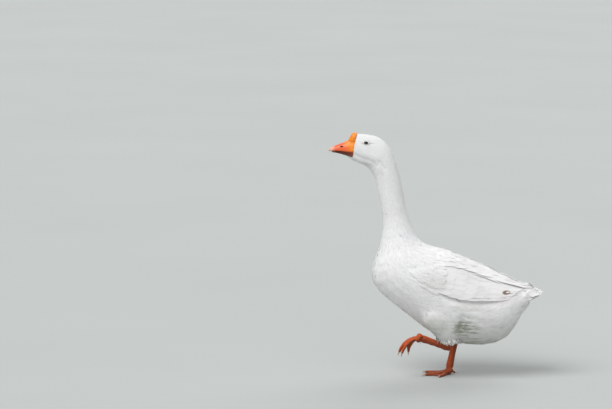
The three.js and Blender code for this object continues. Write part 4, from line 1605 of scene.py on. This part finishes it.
def eyeball(side, sign, material):
    centre, radius = eye_round(side)
    bm = bmesh.new()
    place = Matrix.Translation(centre) @ Matrix.Rotation(math.radians(90), 4, "Y")
    bmesh.ops.create_uvsphere(bm, u_segments=48, v_segments=32, radius=radius, matrix=place)
    for v in bm.verts:
        off = math.hypot(v.co.y - centre.y, v.co.z - centre.z)
        if (v.co.x - centre.x) * sign > 0:
            v.co.x += sign * 0.0007 * float(smoothstep(0.0062, 0.0, off))
    eye = from_bmesh(f"eyeball_{side}", bm)
    shade_smooth(eye)
    eye.data.materials.append(material)
    finish_piece(eye, "eye", f"eye_{side}")


def claw(side, toe, material):
    name = f"claw_{side}_{toe}"
    obj = cad_copy(f"nail_{side}_{toe}", (name,))
    remesh(obj, 0.0004, smooth=4)
    places = vertex_places(obj.data)
    if side == "right":
        places[:, 2] = np.maximum(places[:, 2], 0.0003)
    set_places(obj.data, places)
    shade_smooth(obj)
    obj.data.materials.append(material)
    finish_piece(obj, "claw", name)


# ---------------------------------------------------------------- stage
# The lamps: place, how wide they are in degrees, and power.
LAMPS = {
    "key": ((4.6, -4.4, 9.4), 36, 2.05),
    "fill": ((8.5, 4.0, 4.6), 70, 0.50),
    "back": ((-7.0, 3.0, 7.2), 45, 0.95),
}
SKY = (0.80, 0.83, 0.86, 1)
SKY_POWER = 0.54


def floor():
    bm = bmesh.new()
    bmesh.ops.create_grid(bm, x_segments=2, y_segments=2, size=60)
    obj = from_bmesh("floor", bm)
    material, tree, shader = new_material("Studio floor")
    place = object_place(tree)
    cloud = noise(tree, place, 0.8, 2)
    colour = mix_colour(tree, cloud, *FLOOR_TONES)
    tree.links.new(colour, shader.inputs["Base Color"])
    shader.inputs["Roughness"].default_value = 0.9
    obj.data.materials.append(material)


def lamp(name, place, target, spread, power):
    """A wide soft source, far off, so that the floor is lit evenly."""
    light = bpy.data.lights.new(name, "SUN")
    light.angle = math.radians(spread)
    light.energy = power
    obj = bpy.data.objects.new(name, light)
    obj.location = place
    obj.rotation_euler = (Vector(target) - Vector(place)).to_track_quat("-Z", "Y").to_euler()
    bpy.context.scene.collection.objects.link(obj)


def camera(stage):
    """A long lens from the goose's left, a little above it, aimed at the ground it walks towards."""
    data = bpy.data.cameras.new("camera")
    data.lens = stage.lens
    data.sensor_width = 36
    data.clip_end = 200
    middle = at(0, -45, 364)
    back = Vector((math.cos(stage.elevation), 0, math.sin(stage.elevation)))
    rise = Vector((-math.sin(stage.elevation), 0, math.cos(stage.elevation)))
    aim = middle + Vector((0, -stage.lead, 0)) + rise * stage.room
    obj = bpy.data.objects.new("camera", data)
    obj.location = middle + back * stage.distance
    obj.rotation_euler = (aim - obj.location).to_track_quat("-Z", "Y").to_euler()
    bpy.context.scene.collection.objects.link(obj)
    bpy.context.scene.camera = obj


# ---------------------------------------------------------------- operators
class GOOSE_OT_skin(bpy.types.Operator):
    """Build the one skin under the plumage, with lids and bare legs"""

    bl_idname = "goose.skin"
    bl_label = "Skin"

    def execute(self, context):
        skin = build_body_skin()
        for side, _ in SIDES:
            unite(skin, build_leg_skin(side))
        for side, sign in SIDES:
            unite(skin, eyelids(side, sign))
        skin.name = skin.data.name = "skin"
        triangulate(skin)
        unwrap_skin(skin)
        shade_smooth(skin)
        skin.data.materials.clear()
        skin.data.materials.append(skin_material())
        legs = [f"{part}_{side}" for part in ("shank", "foot") for side, _ in SIDES]
        finish_piece(skin, "leg_skin", *BODY_NODES, *legs)
        return {"FINISHED"}


class GOOSE_OT_bill(bpy.types.Operator):
    """Build the bill with its knob"""

    bl_idname = "goose.bill"
    bl_label = "Bill"

    def execute(self, context):
        bill_top()
        bill_bottom()
        return {"FINISHED"}


class GOOSE_OT_eyes(bpy.types.Operator):
    """Build both eyeballs"""

    bl_idname = "goose.eyes"
    bl_label = "Eyes"

    def execute(self, context):
        material = eye_material()
        for side, sign in SIDES:
            eyeball(side, sign, material)
        return {"FINISHED"}


class GOOSE_OT_claws(bpy.types.Operator):
    """Build the claws of both feet"""

    bl_idname = "goose.claws"
    bl_label = "Claws"

    def execute(self, context):
        material = claw_material()
        for side, _ in SIDES:
            for toe in TOES:
                claw(side, toe, material)
        return {"FINISHED"}


class GOOSE_OT_body_feathers(bpy.types.Operator):
    """Lay the feathers of the head, neck, trunk and thighs"""

    bl_idname = "goose.body_feathers"
    bl_label = "Body feathers"

    def execute(self, context):
        body_feathers()
        return {"FINISHED"}


class GOOSE_OT_wings(bpy.types.Operator):
    """Lay the long feathers and coverts of both wings"""

    bl_idname = "goose.wings"
    bl_label = "Wing feathers"

    def execute(self, context):
        for side, sign in SIDES:
            wing_feathers(side, sign)
        return {"FINISHED"}


class GOOSE_OT_tail(bpy.types.Operator):
    """Lay the fan of the tail"""

    bl_idname = "goose.tail"
    bl_label = "Tail feathers"

    def execute(self, context):
        tail_feathers()
        return {"FINISHED"}


class GOOSE_OT_stage(bpy.types.Operator):
    """Set the floor, the light and the camera"""

    bl_idname = "goose.stage"
    bl_label = "Studio"

    def execute(self, context):
        floor()
        for name, (place, spread, power) in LAMPS.items():
            lamp(name, place, at(0, -20, 330), spread, power)
        world = bpy.data.worlds.new("Studio")
        world.use_nodes = True
        world.node_tree.nodes["Background"].inputs[0].default_value = SKY
        world.node_tree.nodes["Background"].inputs[1].default_value = SKY_POWER
        context.scene.world = world
        context.scene.view_settings.view_transform = "Standard"
        camera(context.scene.goose_stage)
        return {"FINISHED"}


class GOOSE_PT_panel(bpy.types.Panel):
    """Lists the goose's settings and pieces"""

    bl_label = "Goose"
    bl_idname = "GOOSE_PT_panel"
    bl_space_type = "VIEW_3D"
    bl_region_type = "UI"
    bl_category = "Goose"

    def draw(self, context):
        for group in (context.scene.goose_coat, context.scene.goose_colours, context.scene.goose_stage):
            column = self.layout.column()
            for name in group.bl_rna.properties.keys():
                if name not in ("rna_type", "name"):
                    column.prop(group, name)
        for operator in OPERATORS:
            self.layout.operator(operator.bl_idname)


OPERATORS = (
    GOOSE_OT_stage, GOOSE_OT_skin, GOOSE_OT_bill, GOOSE_OT_eyes, GOOSE_OT_claws,
    GOOSE_OT_body_feathers, GOOSE_OT_wings, GOOSE_OT_tail,
)
GROUPS = (GooseCoat, GooseColours, GooseStage)


def register():
    for cls in (*GROUPS, *OPERATORS, GOOSE_PT_panel):
        bpy.utils.register_class(cls)
    bpy.types.Scene.goose_coat = PointerProperty(type=GooseCoat)
    bpy.types.Scene.goose_colours = PointerProperty(type=GooseColours)
    bpy.types.Scene.goose_stage = PointerProperty(type=GooseStage)


def unregister():
    for name in ("goose_coat", "goose_colours", "goose_stage"):
        delattr(bpy.types.Scene, name)
    for cls in reversed((*GROUPS, *OPERATORS, GOOSE_PT_panel)):
        bpy.utils.unregister_class(cls)


def main():
    register()
    bpy.ops.goose.stage()
    bpy.ops.goose.skin()
    bpy.ops.goose.bill()
    bpy.ops.goose.eyes()
    bpy.ops.goose.claws()
    bpy.ops.goose.body_feathers()
    bpy.ops.goose.wings()
    bpy.ops.goose.tail()


if __name__ == "__main__":
    main()
